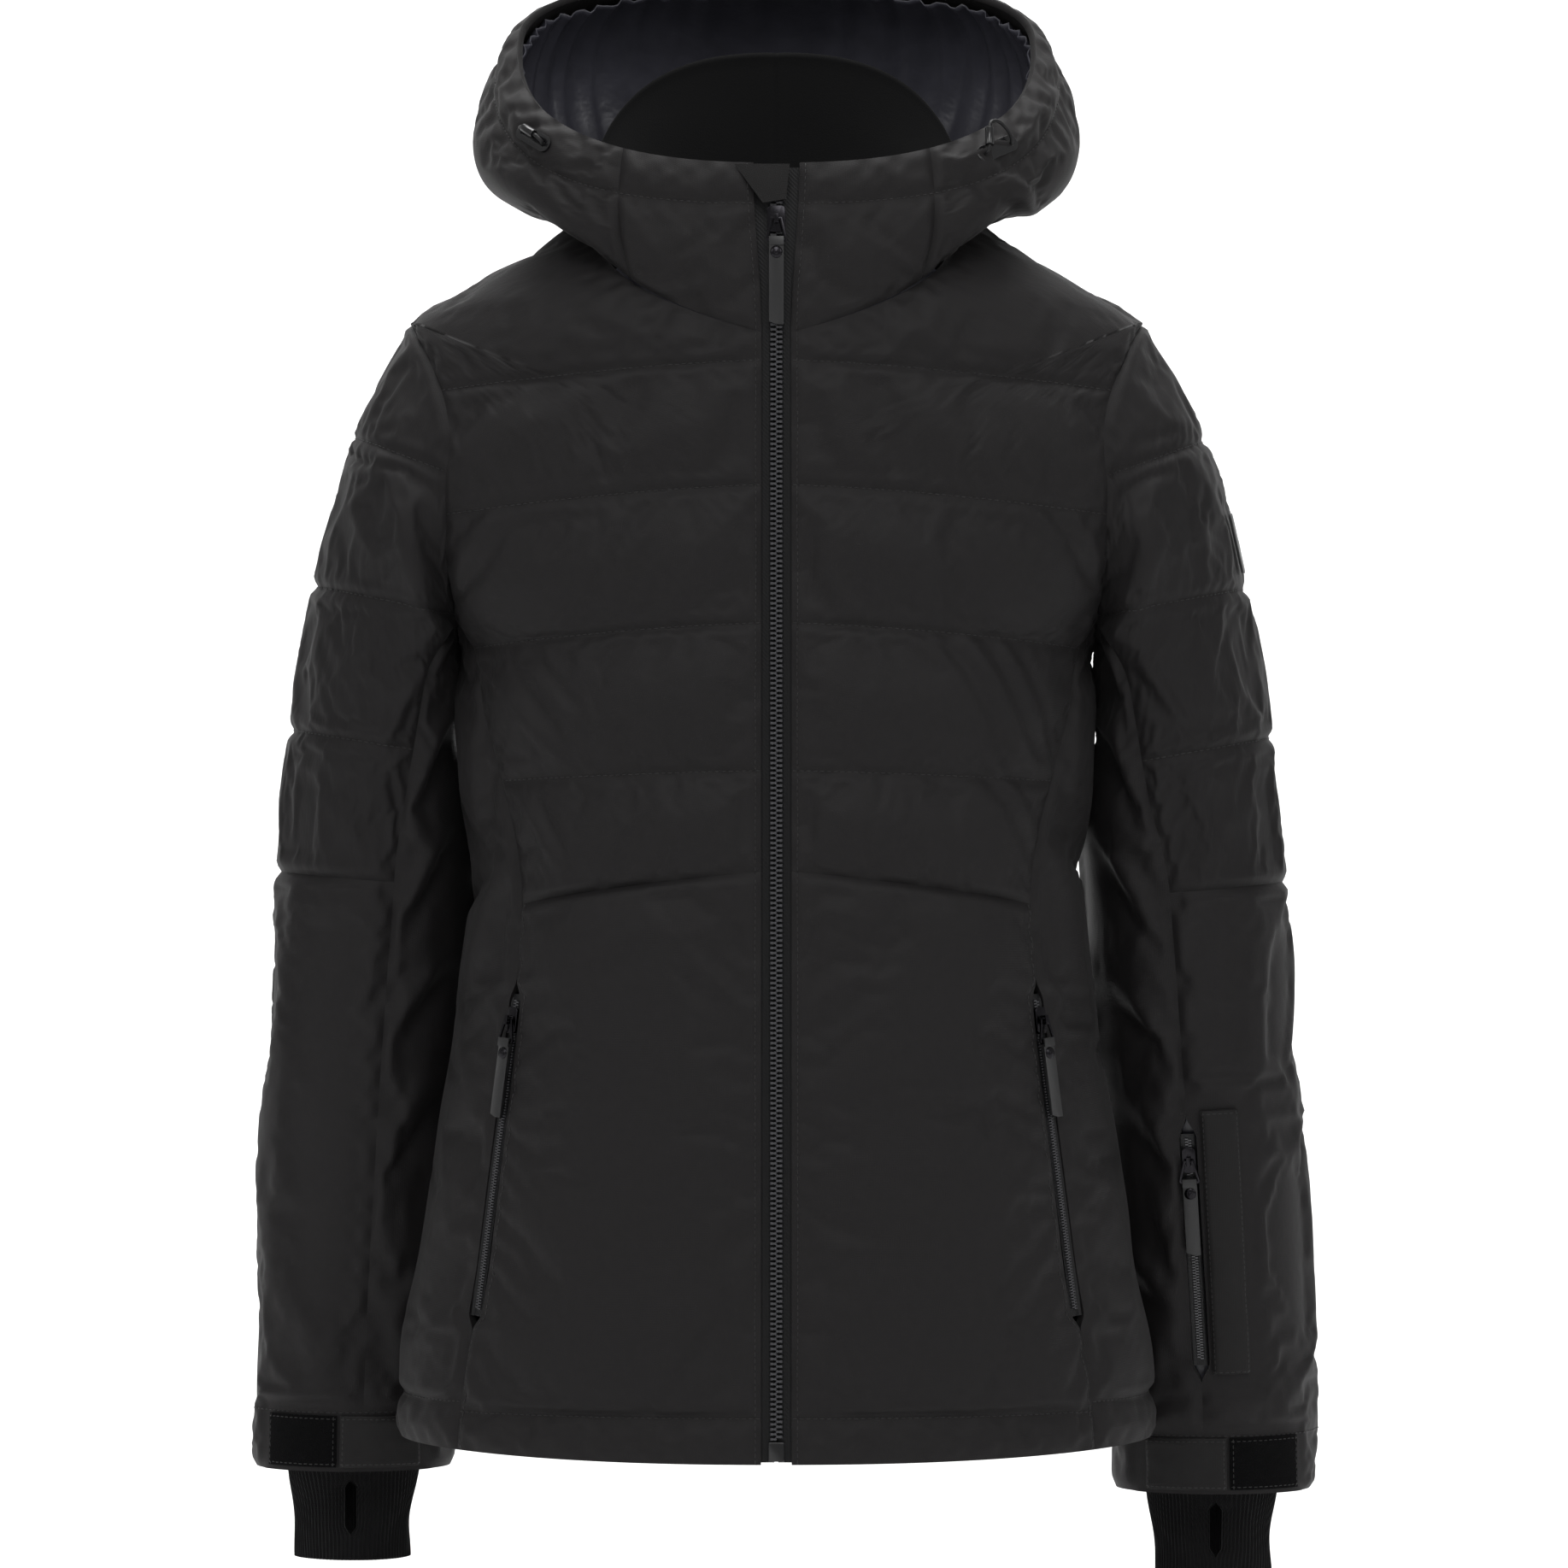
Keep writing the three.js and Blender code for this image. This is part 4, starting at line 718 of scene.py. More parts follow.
# %% The two cords
CORD_RADIUS = 0.001
cords = {}
for word, (side, angle, route) in LOOP_ROUTES.items():
    origin, axes = plate_frame(side, angle)
    path = placed(origin + centripetal(route) @ axes)
    cord = tube(f"elastic_loop_{word}", path, CORD_RADIUS * 0.97, ribs=0.03)
    finish(cord, TAPE_CLOTH, replaces=[f"hood_cord_{word}"])
    cords[word] = (cord, path)
    print(cord.name, "length", round(float(np.sum(np.linalg.norm(np.diff(path, axis=0), axis=1))), 4))

# %% [markdown]
# ## How a padded panel is shaped
# Wadding lifts the cloth between its seams and every row of stitches pulls it down again. Near a seam
# the cloth has a little too much length, so it puckers. The lift here is a crown that grows with the
# distance to the nearest seam or quilting row. The folds that hang from the armpits and round the
# elbows are ridges laid along short lines. A cloth simulation then blows the whole skin up a little
# with its seams held fast, which gives the puckers and shallow creases that nobody would draw by hand.

# %% Crowns, ridges and puckers
def border_distances(points):
    """For each point of a grid, the way to the left, right, bottom and top borders along the grid, in mm."""
    across = np.linalg.norm(np.diff(points, axis=1), axis=-1)
    along = np.linalg.norm(np.diff(points, axis=0), axis=-1)
    u = np.concatenate([np.zeros((len(points), 1)), np.cumsum(across, 1)], 1)
    v = np.concatenate([np.zeros((1, points.shape[1])), np.cumsum(along, 0)], 0)
    return u, u[:, -1:] - u, v, v[-1:] - v


def crown(distance, lift, pull=1.2, soft=15.0):
    """lift (1 - e^(-d / soft)) less pull e^(-(d / 3)^2): full between the stitches, drawn in at them."""
    return lift * (1 - np.exp(-distance / soft)) - pull * np.exp(-((distance / 3) ** 2))


def ridge(points, start, stop, width, height):
    """A rounded fold along a line seen from the front (x and z): height e^(-(d/width)^2), fading at its ends."""
    a, b = np.array(start, float), np.array(stop, float)
    way = b - a
    flat = points[..., [0, 2]] - a
    t = flat @ way / (way @ way)
    off = (flat[..., 0] * way[1] - flat[..., 1] * way[0]) / np.linalg.norm(way)
    fade = smooth(-0.15, 0.3, t) * (1 - smooth(0.65, 1.15, t))
    return height * fade * (np.exp(-((off / width) ** 2)) - 0.6 * np.exp(-(((off - 1.7 * width) / width) ** 2)))


def crumple(s, t, size, seed):
    """A sum of eight sine waves whose directions and phases come from a seeded generator."""
    draw = np.random.default_rng(seed)
    total = 0
    for _ in range(8):
        turn, phase = draw.uniform(0, 2 * math.pi, 2)
        wave = 2 * math.pi / (size * draw.uniform(0.7, 1.6))
        total = total + np.sin(wave * (s * math.cos(turn) + t * math.sin(turn)) + phase)
    return total / 4


GRID = 5.0
panels = {}


def sew(name, word, surface, place, lift, quilts=(), folds=(), crease=0.5, thick=SHELL, facing=None, slope=1,
        seed=1, pull=1.2, soft=15.0, calm=None):
    """Lays a panel out: its surface, its outward directions, and how far its cloth is lifted."""
    rough_u, rough_v = np.meshgrid(np.linspace(0, 1, 9), np.linspace(0, 1, 9))
    rough = surface(*place(rough_u, rough_v))
    columns = 2 * int(np.linalg.norm(np.diff(rough, axis=1), axis=-1).sum(1).max() / GRID / 2 + 1) + 1
    rows = 2 * int(np.linalg.norm(np.diff(rough, axis=0), axis=-1).sum(0).max() / GRID / 2 + 1) + 1
    u, v = np.meshgrid(np.linspace(0, 1, 2 * columns - 1), np.linspace(0, 1, 2 * rows - 1))
    a, b = place(u, v)
    points = surface(a, b)
    out = facing(a, b) if facing else outward(surface, a, b, slope)
    d = border_distances(points)
    near = np.minimum.reduce(d)
    rows_of_stitches = [np.abs(points[..., 2] - line(points)) for line in quilts]
    near_all = np.minimum.reduce([near, *rows_of_stitches])
    lifted = crown(near_all, lift, pull, soft)
    for fold in folds:
        lifted = lifted + ridge(points, *fold) * smooth(0, 14, near)
    pucker = crumple(d[0], d[2], 17, seed) * np.exp(-near_all / 10) * smooth(0, 3, near_all)
    broad = crumple(d[0], d[2], 60, seed + 50) * smooth(0, 25, near_all)
    lifted = lifted + crease * (0.5 * pucker + broad)
    still = calm(a, b) if calm else 0 * a
    lifted = lifted * (1 - still)
    held = (near < 1.5) | (still > 0.4) | np.any([r < 2.0 for r in rows_of_stitches] or [near < 0], axis=0)
    panels[f"{name}_{word}" if word else name] = dict(
        points=points, out=out, lifted=lifted, held=held, thick=thick, side=-1 if word == "right" else 1,
        quilts=quilts, borders=d)
    return points.shape


# %% [markdown]
# ## Cutting the panels
# The chest and the upper sleeves are quilted; the skirt, the sides and the lower sleeves are plain. The
# quilting rows fall a little from the zip to the side, and the upper sleeve's rows dip towards its inner
# side. Folds are kept where the real cloth has slack: under the bust, at the armpit, inside the elbow.

# %% Body panels
def falling_row(middle, drop, reach):
    """A row of stitches across the chest: its height falls by drop at the reach, as the distance^1.5."""
    return lambda p: middle - drop * (np.abs(p[..., 0]) / reach) ** 1.5


CHEST_ROWS = [falling_row(586, 14, 182), falling_row(521, 15, 178), falling_row(449, 12.7, 165),
              falling_row(372, 5, 140)]
BACK_ROWS = [falling_row(575, 4, 180), falling_row(506, 3, 178), falling_row(437, 2, 165),
             falling_row(366, 1, 150)]
CHEST_FOLDS = {
    "left": [((96, 448), (137, 368), 5, 2.6), ((118, 440), (141, 380), 4, 2.2), ((104, 392), (141, 330), 4, 1.6),
             ((150, 520), (176, 470), 6, 2.2), ((60, 600), (150, 590), 9, 1.2)],
    "right": [((145, 424), (108, 372), 5, 2.8), ((134, 432), (100, 392), 4, 1.6), ((132, 359), (112, 322), 4, 2.2),
              ((146, 510), (174, 466), 6, 2.0), ((70, 604), (150, 588), 9, 1.2)],
}
SKIRT_FOLDS = {
    "left": [((28, 300), (60, 285), 5, 1.2), ((20, 60), (24, 180), 8, 1.0), ((96, 50), (104, 160), 9, 0.9)],
    "right": [((30, 60), (24, 170), 8, 1.0), ((100, 60), (110, 150), 9, 0.9), ((60, 290), (110, 268), 6, 0.9)],
}
SIDE_FOLDS = {
    "left": [((150, 440), (162, 330), 6, 3.0), ((146, 330), (158, 250), 6, 2.4), ((150, 220), (176, 120), 8, 1.8)],
    "right": [((150, 446), (160, 340), 6, 3.2), ((146, 320), (160, 250), 5, 2.6), ((152, 230), (178, 110), 8, 1.6)],
}

for k, word in enumerate(("left", "right")):
    outer = joined([4, 6, 2], [princess_upper, arm_arc(-UNDER_TURN, 0), shoulder_seam])
    low, high = zip_line(np.array(WAIST + WAIST_PEAK)), zip_line(np.array(COLLAR_BASE))
    chest = between(lambda v: zip_line(mix(WAIST + WAIST_PEAK, COLLAR_BASE, v)), outer,
                    edge(float(low[0]), PRINCESS, waist_height), edge(float(high[0]), 90, neck_height))
    sew("chest", word, body_point, chest, 3.2, CHEST_ROWS, CHEST_FOLDS[word], seed=11 + k)
    foot = zip_line(np.array(HEM))
    skirt = between(lambda v: zip_line(mix(HEM, WAIST + WAIST_PEAK, v)), lower_seam(PRINCESS, -POCKET_OPENING / 2),
                    edge(float(foot[0]), PRINCESS, hem_height), edge(float(low[0]), PRINCESS, waist_height))
    sew("lower_front", word, body_point, skirt, 3.0, [lambda p: 36 + 0 * p[..., 0]], SKIRT_FOLDS[word], seed=21 + k)
    flank = between(joined([7, 4], [lower_seam(PRINCESS, POCKET_OPENING / 2), princess_upper]),
                    joined([7, 4], [lower_seam(SIDE_BACK), back_upper_seam]),
                    edge(PRINCESS, SIDE_BACK, hem_height), arm_arc(-UNDER_TURN, -360 + UNDER_TURN))
    sew("side", word, body_point, flank, 2.4, [lambda p: 41 + 0 * p[..., 0]], SIDE_FOLDS[word], crease=0.9, seed=31 + k)


def other_side(curve):
    """The same seam on the wearer's other side: 360 degrees less the angle."""
    return lambda v: (360 - curve(v)[0], curve(v)[1])


nape = joined([4, 6, 2], [back_upper_seam, arm_arc(UNDER_TURN, 0), shoulder_seam])
back_top = edge(90, 270, lambda angle: NECK + 0 * angle)
back_waist = edge(SIDE_BACK, 360 - SIDE_BACK, lambda angle: WAIST + 0 * angle)
sew("back_upper", "", body_point, between(nape, other_side(nape), back_waist, back_top), 3.2, BACK_ROWS, seed=41)
tail = lower_seam(SIDE_BACK)
back_hem = edge(SIDE_BACK, 360 - SIDE_BACK, hem_height)
sew("back_lower", "", body_point, between(tail, other_side(tail), back_hem, back_waist), 3.0,
    [lambda p: 38 + 0 * p[..., 0]], seed=42)
print(len(panels), "panels cut")

# %% Hood panels
COLLAR_SEAM = 31.0
HOOD_FOLDS = {
    "left": [((60, 640), (88, 628), 4, 2.6), ((106, 690), (140, 668), 6, 3.0), ((70, 622), (110, 655), 5, 2.2),
             ((120, 700), (150, 740), 7, 2.0), ((64, 700), (100, 690), 6, 1.6)],
    "right": [((38, 624), (66, 618), 4, 2.6), ((60, 612), (110, 650), 5, 2.4), ((90, 640), (140, 690), 7, 2.4),
              ((110, 700), (148, 736), 7, 2.0), ((70, 690), (100, 676), 6, 1.6)],
}


def hood_place(start, stop):
    """From the neckline to the rim between two angles, less the tunnel's own turn at the rim."""
    def place(u, v):
        return mix(start, stop, u), 100 * v + 0 * u
    return place


for k, word in enumerate(("left", "right")):
    front_edge = float(zip_line(np.array(COLLAR_BASE))[0])
    rim_row = [lambda p: RIM_FRONT + RIM_SLOPE * (p[..., 1] + front_depth(RIM_FRONT)) - 21]
    sew("hood_front", word, hood_point, hood_place(front_edge, COLLAR_SEAM), 2.8, rim_row, HOOD_FOLDS[word],
        thick=5.0, seed=51 + k)
    sew("hood_side", word, hood_point, hood_place(COLLAR_SEAM, 180), 3.4, rim_row, HOOD_FOLDS[word],
        crease=0.7, thick=5.0, seed=61 + k)

# %% Sleeve panels
def dipping_row(outer, x_outer, dip):
    """A quilting row round the sleeve: level behind, falling by dip for each mm towards the body."""
    return lambda p: outer - dip * (x_outer - p[..., 0])


SLEEVE_ROWS = {
    "right": [dipping_row(550, 226, 0.4), dipping_row(471, 249, 0.217), dipping_row(394, 261, 0.16)],
    "left": [dipping_row(546, 224, 0.38), dipping_row(468, 245, 0.2), dipping_row(389, 262, 0.176)],
}
UPPER_FOLDS = {
    "left": [((200, 500), (186, 440), 6, 2.4), ((196, 430), (214, 400), 5, 1.6)],
    "right": [((196, 510), (184, 440), 6, 2.4), ((192, 420), (210, 380), 5, 1.6)],
}
FORE_FOLDS = {
    "left": [((204, 300), (224, 250), 7, 1.8), ((206, 210), (230, 190), 6, 1.4)],
    "right": [((200, 300), (222, 240), 7, 1.8), ((206, 120), (226, 70), 7, 1.2)],
}
UNDER_FOLDS = {
    "left": [((176, 400), (204, 340), 6, 3.0), ((178, 330), (210, 280), 6, 3.2), ((184, 260), (214, 215), 6, 2.6),
             ((188, 200), (216, 160), 7, 2.4), ((184, 120), (214, 84), 7, 2.0), ((174, 460), (190, 410), 6, 2.6)],
    "right": [((172, 410), (200, 350), 6, 3.0), ((176, 340), (206, 290), 6, 3.0), ((180, 270), (208, 230), 6, 2.8),
              ((184, 210), (212, 165), 7, 2.4), ((180, 110), (208, 80), 7, 2.2), ((170, 470), (188, 420), 6, 2.6)],
}
ELBOW = 5
sleeves = {word: sleeve_surface(word) for word in ("left", "right")}


POCKET_FROM, POCKET_TO, SLIT_TURN = 6.55, 7.95, 5.0


def slit(down, word):
    """How far the left sleeve's front seam parts for its pocket, in degrees of turn."""
    near = smooth(POCKET_FROM - 0.12, POCKET_FROM + 0.02, down) * (1 - smooth(POCKET_TO - 0.02, POCKET_TO + 0.12, down))
    return SLIT_TURN * near * (word == "left")


def outer_part(start, stop, word):
    def place(u, v):
        down = mix(start, stop, v)
        return mix(-seam_turn(down) + slit(down, word), seam_turn(down), u), down
    return place


def inner_part(word):
    def place(u, v):
        down = STEPS * v
        return mix(seam_turn(down), 360 - seam_turn(down) - slit(down, word), u), down
    return place


def box_of(turns, downs, soft_turn=9, soft_down=0.12):
    """1 inside a range of turns and downs on the sleeve, falling to 0 over a soft edge."""
    def amount(turn, down):
        across = smooth(turns[0] - soft_turn, turns[0], turn) * (1 - smooth(turns[1], turns[1] + soft_turn, turn))
        return across * smooth(downs[0] - soft_down, downs[0], down) * (1 - smooth(downs[1], downs[1] + soft_down, down))
    return amount


def calm_under_trim(word):
    """Where a strap, patch, welt or badge lies on the sleeve, the cloth stays flat."""
    areas = [box_of((-140, -33), (STEPS - 0.55, STEPS + 1))]
    if word == "left":
        areas += [box_of((-100, -66), (POCKET_FROM - 0.2, POCKET_TO + 0.12)), box_of((-23, -5), (1.8, 2.4))]
    return lambda turn, down: np.maximum.reduce([f(turn - 360 * (turn > 180), down) for f in areas])


for k, word in enumerate(("left", "right")):
    surface = sleeves[word]
    facing = sleeve_facing(surface)
    sew("upper_sleeve", word, surface, outer_part(0, ELBOW, word), 2.6, SLEEVE_ROWS[word], UPPER_FOLDS[word],
        facing=facing, seed=71 + k, calm=calm_under_trim(word))
    sew("fore_sleeve", word, surface, outer_part(ELBOW, STEPS, word), 2.4, [], FORE_FOLDS[word], facing=facing,
        crease=0.5, seed=81 + k, calm=calm_under_trim(word))
    sew("under_sleeve", word, surface, inner_part(word), 1.8, [], UNDER_FOLDS[word], facing=facing, crease=0.8,
        seed=91 + k, calm=calm_under_trim(word))
print(len(panels), "panels in all")

# %% [markdown]
# ## Blowing the skin up
# All the outer skins go into one mesh, at every second point of their grids. Seams and quilting rows
# are pinned. The cloth is cut 1.8% too large and a gentle pressure pushes it out, with gravity off, so
# between the pins it buckles as wadded cloth does. No point may move more than 3 mm, and the result is
# read back as a displacement, smoothed onto the fine grid, so no simulation is left on any piece.

# %% The cloth simulation
CAP = 0.003
FRAMES = 20


def blow_up(skins, pinned):
    """Runs Blender's cloth once on all the skins together and returns how far each point moved, in metres."""
    counts = [s.shape[0] * s.shape[1] for s in skins]
    starts = np.cumsum([0, *counts])
    face = np.concatenate([quads(s.shape[0], s.shape[1], n) for s, n in zip(skins, starts)])
    points = np.concatenate([s.reshape(-1, 3) for s in skins])
    piece = mesh_of("skin_for_simulation", points, face)
    group = piece.vertex_groups.new(name="held")
    group.add(np.flatnonzero(np.concatenate([p.ravel() for p in pinned])).tolist(), 1.0, "REPLACE")
    cloth = piece.modifiers.new("cloth", "CLOTH")
    cloth.point_cache.frame_start, cloth.point_cache.frame_end = 1, FRAMES
    s = cloth.settings
    s.quality, s.mass, s.air_damping = 4, 0.12, 3.0
    s.tension_stiffness, s.compression_stiffness, s.shear_stiffness = 12.0, 8.0, 4.0
    s.bending_stiffness, s.bending_damping = 0.08, 0.3
    s.vertex_group_mass, s.pin_stiffness = "held", 1.0
    s.shrink_min = -0.018
    s.use_pressure, s.uniform_pressure_force = True, 1.6
    s.effector_weights.gravity = 0.0
    scene = bpy.context.scene
    for step in range(1, FRAMES + 1):
        scene.frame_set(step)
    after = np.empty(len(points) * 3, np.float32)
    held = piece.evaluated_get(bpy.context.evaluated_depsgraph_get())
    held.data.vertices.foreach_get("co", after)
    moved = after.reshape(-1, 3) - points
    bpy.data.objects.remove(piece, do_unlink=True)
    scene.frame_set(1)
    length = np.linalg.norm(moved, axis=1, keepdims=True)
    moved = moved * np.minimum(1, CAP / np.maximum(length, 1e-9))
    return [moved[a:b].reshape(s.shape) for a, b, s in zip(starts, starts[1:], skins)]


def finer(grid):
    """Twice as many points each way: a new point is 9/16 of its two neighbours less 1/16 of the next two."""
    for axis in (0, 1):
        g = np.moveaxis(grid, axis, 0)
        ends = np.concatenate([g[:1], g, g[-1:]])
        middle = (9 * (g[:-1] + g[1:]) - ends[:-3] - ends[3:]) / 16
        out = np.empty((2 * len(g) - 1, *g.shape[1:]))
        out[::2], out[1::2] = g, middle
        grid = np.moveaxis(out, 0, axis)
    return grid


for p in panels.values():
    p["outer"] = placed(p["points"] + p["out"] * p["lifted"][..., None])
coarse = [p["outer"][::2, ::2] for p in panels.values()]
moves = blow_up(coarse, [p["held"][::2, ::2] for p in panels.values()])
for p, move in zip(panels.values(), moves):
    p["outer"] = p["outer"] + finer(move)
print("largest move", round(1000 * max(np.abs(m).max() for m in moves), 2), "mm")

# %% Panels as closed pieces
mirror = np.array([-1.0, 1.0, 1.0])
for name, p in panels.items():
    inner = placed(p["points"] - p["out"] * p["thick"])
    outer_skin = p["outer"]
    if p["side"] < 0:
        outer_skin, inner = outer_skin * mirror, inner * mirror
    p["skin"] = outer_skin
    flip = (p["side"] < 0) != name.startswith(("upper_sleeve", "fore_sleeve", "under_sleeve"))
    piece = slab(f"shell_{name}", outer_skin, inner, flip)
    finish(piece, SHELL_CLOTH, replaces=[name])
    p["piece"] = piece
print(sum(len(p["piece"].data.polygons) for p in panels.values()), "faces in the panels")

# %% [markdown]
# ## Stitches
# The rows of quilting and the hems are sewn with tone-on-tone thread. Each stitch is a short spindle
# that lies in the groove it pulls, 2.6 mm long with a small gap to the next, as a lockstitch at eight to
# the inch shows. One shape is repeated along each row, so a stitch keeps to a few faces.

# %% Rows traced on a panel, and spindles laid along them
def trace(points, field):
    """Where a field on a grid changes sign going up each column: the crossing by linear interpolation."""
    change = field[:-1] * field[1:] <= 0
    column = np.flatnonzero(change.any(0))
    row = change.argmax(0)[column]
    a, b = field[row, column], field[row + 1, column]
    t = (a / np.where(a == b, 1, a - b))[:, None]
    return mix(points[row, column], points[row + 1, column], np.clip(t, 0, 1))


def spindles(rows, length=0.0026, gap=0.0009, radius=0.00028):
    """Points and faces of spindles: a five-sided body pinched to a point at each end, half sunk in the cloth."""
    turn = np.linspace(0, 2 * math.pi, 5, endpoint=False)
    ring_points = np.stack([0 * turn, np.cos(turn), np.sin(turn)], -1)
    shape = np.concatenate([[[-0.5, 0, 0]], ring_points + [-0.32, 0, 0], ring_points + [0.32, 0, 0], [[0.5, 0, 0]]])
    around = np.arange(5)
    after = (around + 1) % 5
    tips = np.concatenate([np.stack([0 * around, 1 + after, 1 + around], -1),
                           np.stack([11 + 0 * around, 6 + around, 6 + after], -1)])
    body = np.stack([1 + around, 1 + after, 6 + after, 6 + around], -1)
    points, triangles, fours, count = [], [], [], 0
    for path, out in rows:
        step = np.linalg.norm(np.diff(path, axis=0), axis=1)
        total = np.concatenate([[0], np.cumsum(step)])
        n = int(total[-1] / (length + gap))
        if n < 1:
            continue
        at = (np.arange(n) + 0.5) * total[-1] / n
        spot = np.stack([np.interp(at, total, path[:, k]) for k in range(3)], -1)
        ahead = np.stack([np.interp(at + 0.001, total, path[:, k]) for k in range(3)], -1)
        normal = unit(np.stack([np.interp(at, total, out[:, k]) for k in range(3)], -1))
        way = unit(ahead - spot + 1e-9)
        side = unit(np.cross(way, normal))
        up = np.cross(side, way)
        where = (spot[:, None] + way[:, None] * shape[None, :, :1] * length
                 + (side[:, None] * shape[None, :, 1:2] + up[:, None] * shape[None, :, 2:]) * radius)
        points.append(where.reshape(-1, 3))
        first = (count + 12 * np.arange(n))[:, None, None]
        triangles.append((first + tips[None]).reshape(-1, 3))
        fours.append((first + body[None]).reshape(-1, 4))
        count += 12 * n
    return np.concatenate(points), [np.concatenate(triangles), np.concatenate(fours)]


def stitch_rows(p, extra=()):
    """The panel's quilting rows, and the rows given as fields on its grid, each with its directions."""
    out = p["out"] * [p["side"], 1, 1]
    fields = [p["points"][..., 2] - line(p["points"]) for line in p["quilts"]] + list(extra)
    turned = [(f, p["skin"], out) for f in fields]
    return [(trace(skin, f) + 0.00008 * trace(normal, f), trace(normal, f)) for f, skin, normal in turned
            if ((f[:-1] * f[1:]) <= 0).any()]


def side_rows(p, field):
    """A row that runs up the panel: the same trace on the grid turned on its side."""
    out = p["out"] * [p["side"], 1, 1]
    skin, normal, field = [np.swapaxes(g, 0, 1) for g in (p["skin"], out, field)]
    return [(trace(skin, field) + 0.00008 * trace(normal, field), trace(normal, field))]


rows = []
for name, p in panels.items():
    left_way, right_way, up_way, down_way = p["borders"]
    rows += stitch_rows(p)
    if name.startswith(("chest", "lower_front", "hood_front")):
        rows += side_rows(p, left_way - 3.0)
    if name.startswith("lower_front"):
        rows += side_rows(p, right_way - 3.0)
    if name.startswith("fore_sleeve"):
        rows += stitch_rows(p, [down_way - 32.0])
    if name.startswith("under_sleeve"):
        rows += stitch_rows(p, [down_way - 32.0])
half = len(rows) // 2
for k, part in enumerate((rows[:half], rows[half:])):
    points, face = spindles(part)
    piece = mesh_of(f"seam_stitches_{k + 1}", points, face)
    finish(piece, THREAD)
    print(piece.name, len(points) // 12, "stitches")

# %% [markdown]
# ## Bands of cloth: tapes, linings, facing
# A tape, a lining or a facing is one thin sheet on its own surface. It is a grid with a small thickness,
# and its gathers are sine waves that run up from the seam where the longer cloth is eased in.

# %% A thin sheet on a surface
def thin_sheet(name, surface, place, thick, spacing=4.0, sign=1, offset=0.0, lift=None, side=1, flip=False):
    """A closed sheet at a depth under a surface; lift(u, v, points) adds its gathers along the outward direction."""
    rough_u, rough_v = np.meshgrid(np.linspace(0, 1, 17), np.linspace(0, 1, 17))
    rough = surface(*place(rough_u, rough_v))
    columns = int(np.linalg.norm(np.diff(rough, axis=1), axis=-1).sum(1).max() / spacing) + 2
    n = int(np.linalg.norm(np.diff(rough, axis=0), axis=-1).sum(0).max() / spacing) + 2
    u, v = np.meshgrid(np.linspace(0, 1, columns), np.linspace(0, 1, n))
    a, b = place(u, v)
    points = surface(a, b)
    out = outward(surface, a, b, sign)
    height = -offset + (lift(u, v, points) if lift else 0 * u)
    front = placed(points + out * height[..., None])
    back = placed(points + out * (height - thick)[..., None])
    if side < 0:
        front, back = front * mirror, back * mirror
    return slab(name, front, back, flip), front


def flat_size(skin):
    """The mean width and length of a sheet's grid, measured along it, in metres."""
    across = np.linalg.norm(np.diff(skin, axis=1), axis=-1).sum(1).mean()
    along = np.linalg.norm(np.diff(skin, axis=0), axis=-1).sum(0).mean()
    return round(float(across), 3), round(float(along), 3)


def gathers(pitch_u, depth, seed, slant=0.0, top=1.0):
    """Folds across the sheet: a sine in u whose phase wanders with v, deepest at v = top."""
    draw = np.random.default_rng(seed)
    a, b, c = draw.uniform(0, 6.28, 3)

    def lift(u, v, points):
        wander = 0.9 * np.sin(5 * v + a + 9 * u) + slant * v
        wave = np.sin(2 * math.pi * u / pitch_u + wander) + 0.5 * np.sin(2 * math.pi * u / pitch_u * 1.7 + b + 3 * v)
        near_top = np.exp(-((v - top) / 0.35) ** 2)
        return depth * wave * (0.25 + near_top) * 0.5 + 0.3 * depth * np.sin(60 * u + c + 8 * v)
    return lift


# %% The satin linings
hood_lining, skin = thin_sheet("satin_hood_lining", hood_point, lambda u, v: (mix(14, 346, u), mix(4, 97, v)),
                               0.8, 4.0, 1, 8.6, gathers(0.022, 2.6, 5, 1.2, 0.85))
finish(hood_lining, SATIN, replaces=["hood_lining"])
flat_size(skin)
print("hood lining", flat_size(skin))


def body_lining_top(angle):
    return neck_height(angle) - 5


def lining_piece(name, start, stop, low, high, pitch, depth, seed):
    place = lambda u, v: (mix(start, stop, u), mix(low, high(mix(start, stop, u)), v))
    piece, skin = thin_sheet(name, body_point, place, 0.8, 7.0, 1, 14.0, gathers(pitch, depth, seed))
    finish(piece, SATIN)
    flat_size(skin)
    return piece


under_arm = lambda angle: UNDERARM - 4 + 0 * angle
linings = [
    lining_piece("satin_lining_skirt", 11, 349, HEM + 20, under_arm, 0.03, 1.6, 7),
    lining_piece("satin_lining_left", 11, 58, UNDERARM - 4, body_lining_top, 0.3, 0.8, 8),
    lining_piece("satin_lining_right", 302, 349, UNDERARM - 4, body_lining_top, 0.3, 0.8, 9),
    lining_piece("satin_lining_back", 128, 232, UNDERARM - 4, body_lining_top, 0.2, 0.9, 10),
]
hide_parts("body_lining", "pocket_bag_left", "pocket_bag_right")

# %% Sleeve linings
for word, side in (("left", 1), ("right", -1)):
    piece, skin = thin_sheet(f"satin_sleeve_lining_{word}", sleeves[word],
                             lambda u, v: (-180 + 360 * u, mix(1.6, 8.85, v)), 0.7, 6.0, -1, 8.5,
                             gathers(0.09, 1.4, 12 + side), side, flip=side > 0)
    finish(piece, SATIN)
    flat_size(skin)
    print(piece.name, flat_size(skin))

# %% The brushed facing inside the neck
FACING_INSET, FACING_ROUND = 24.0, 1.9


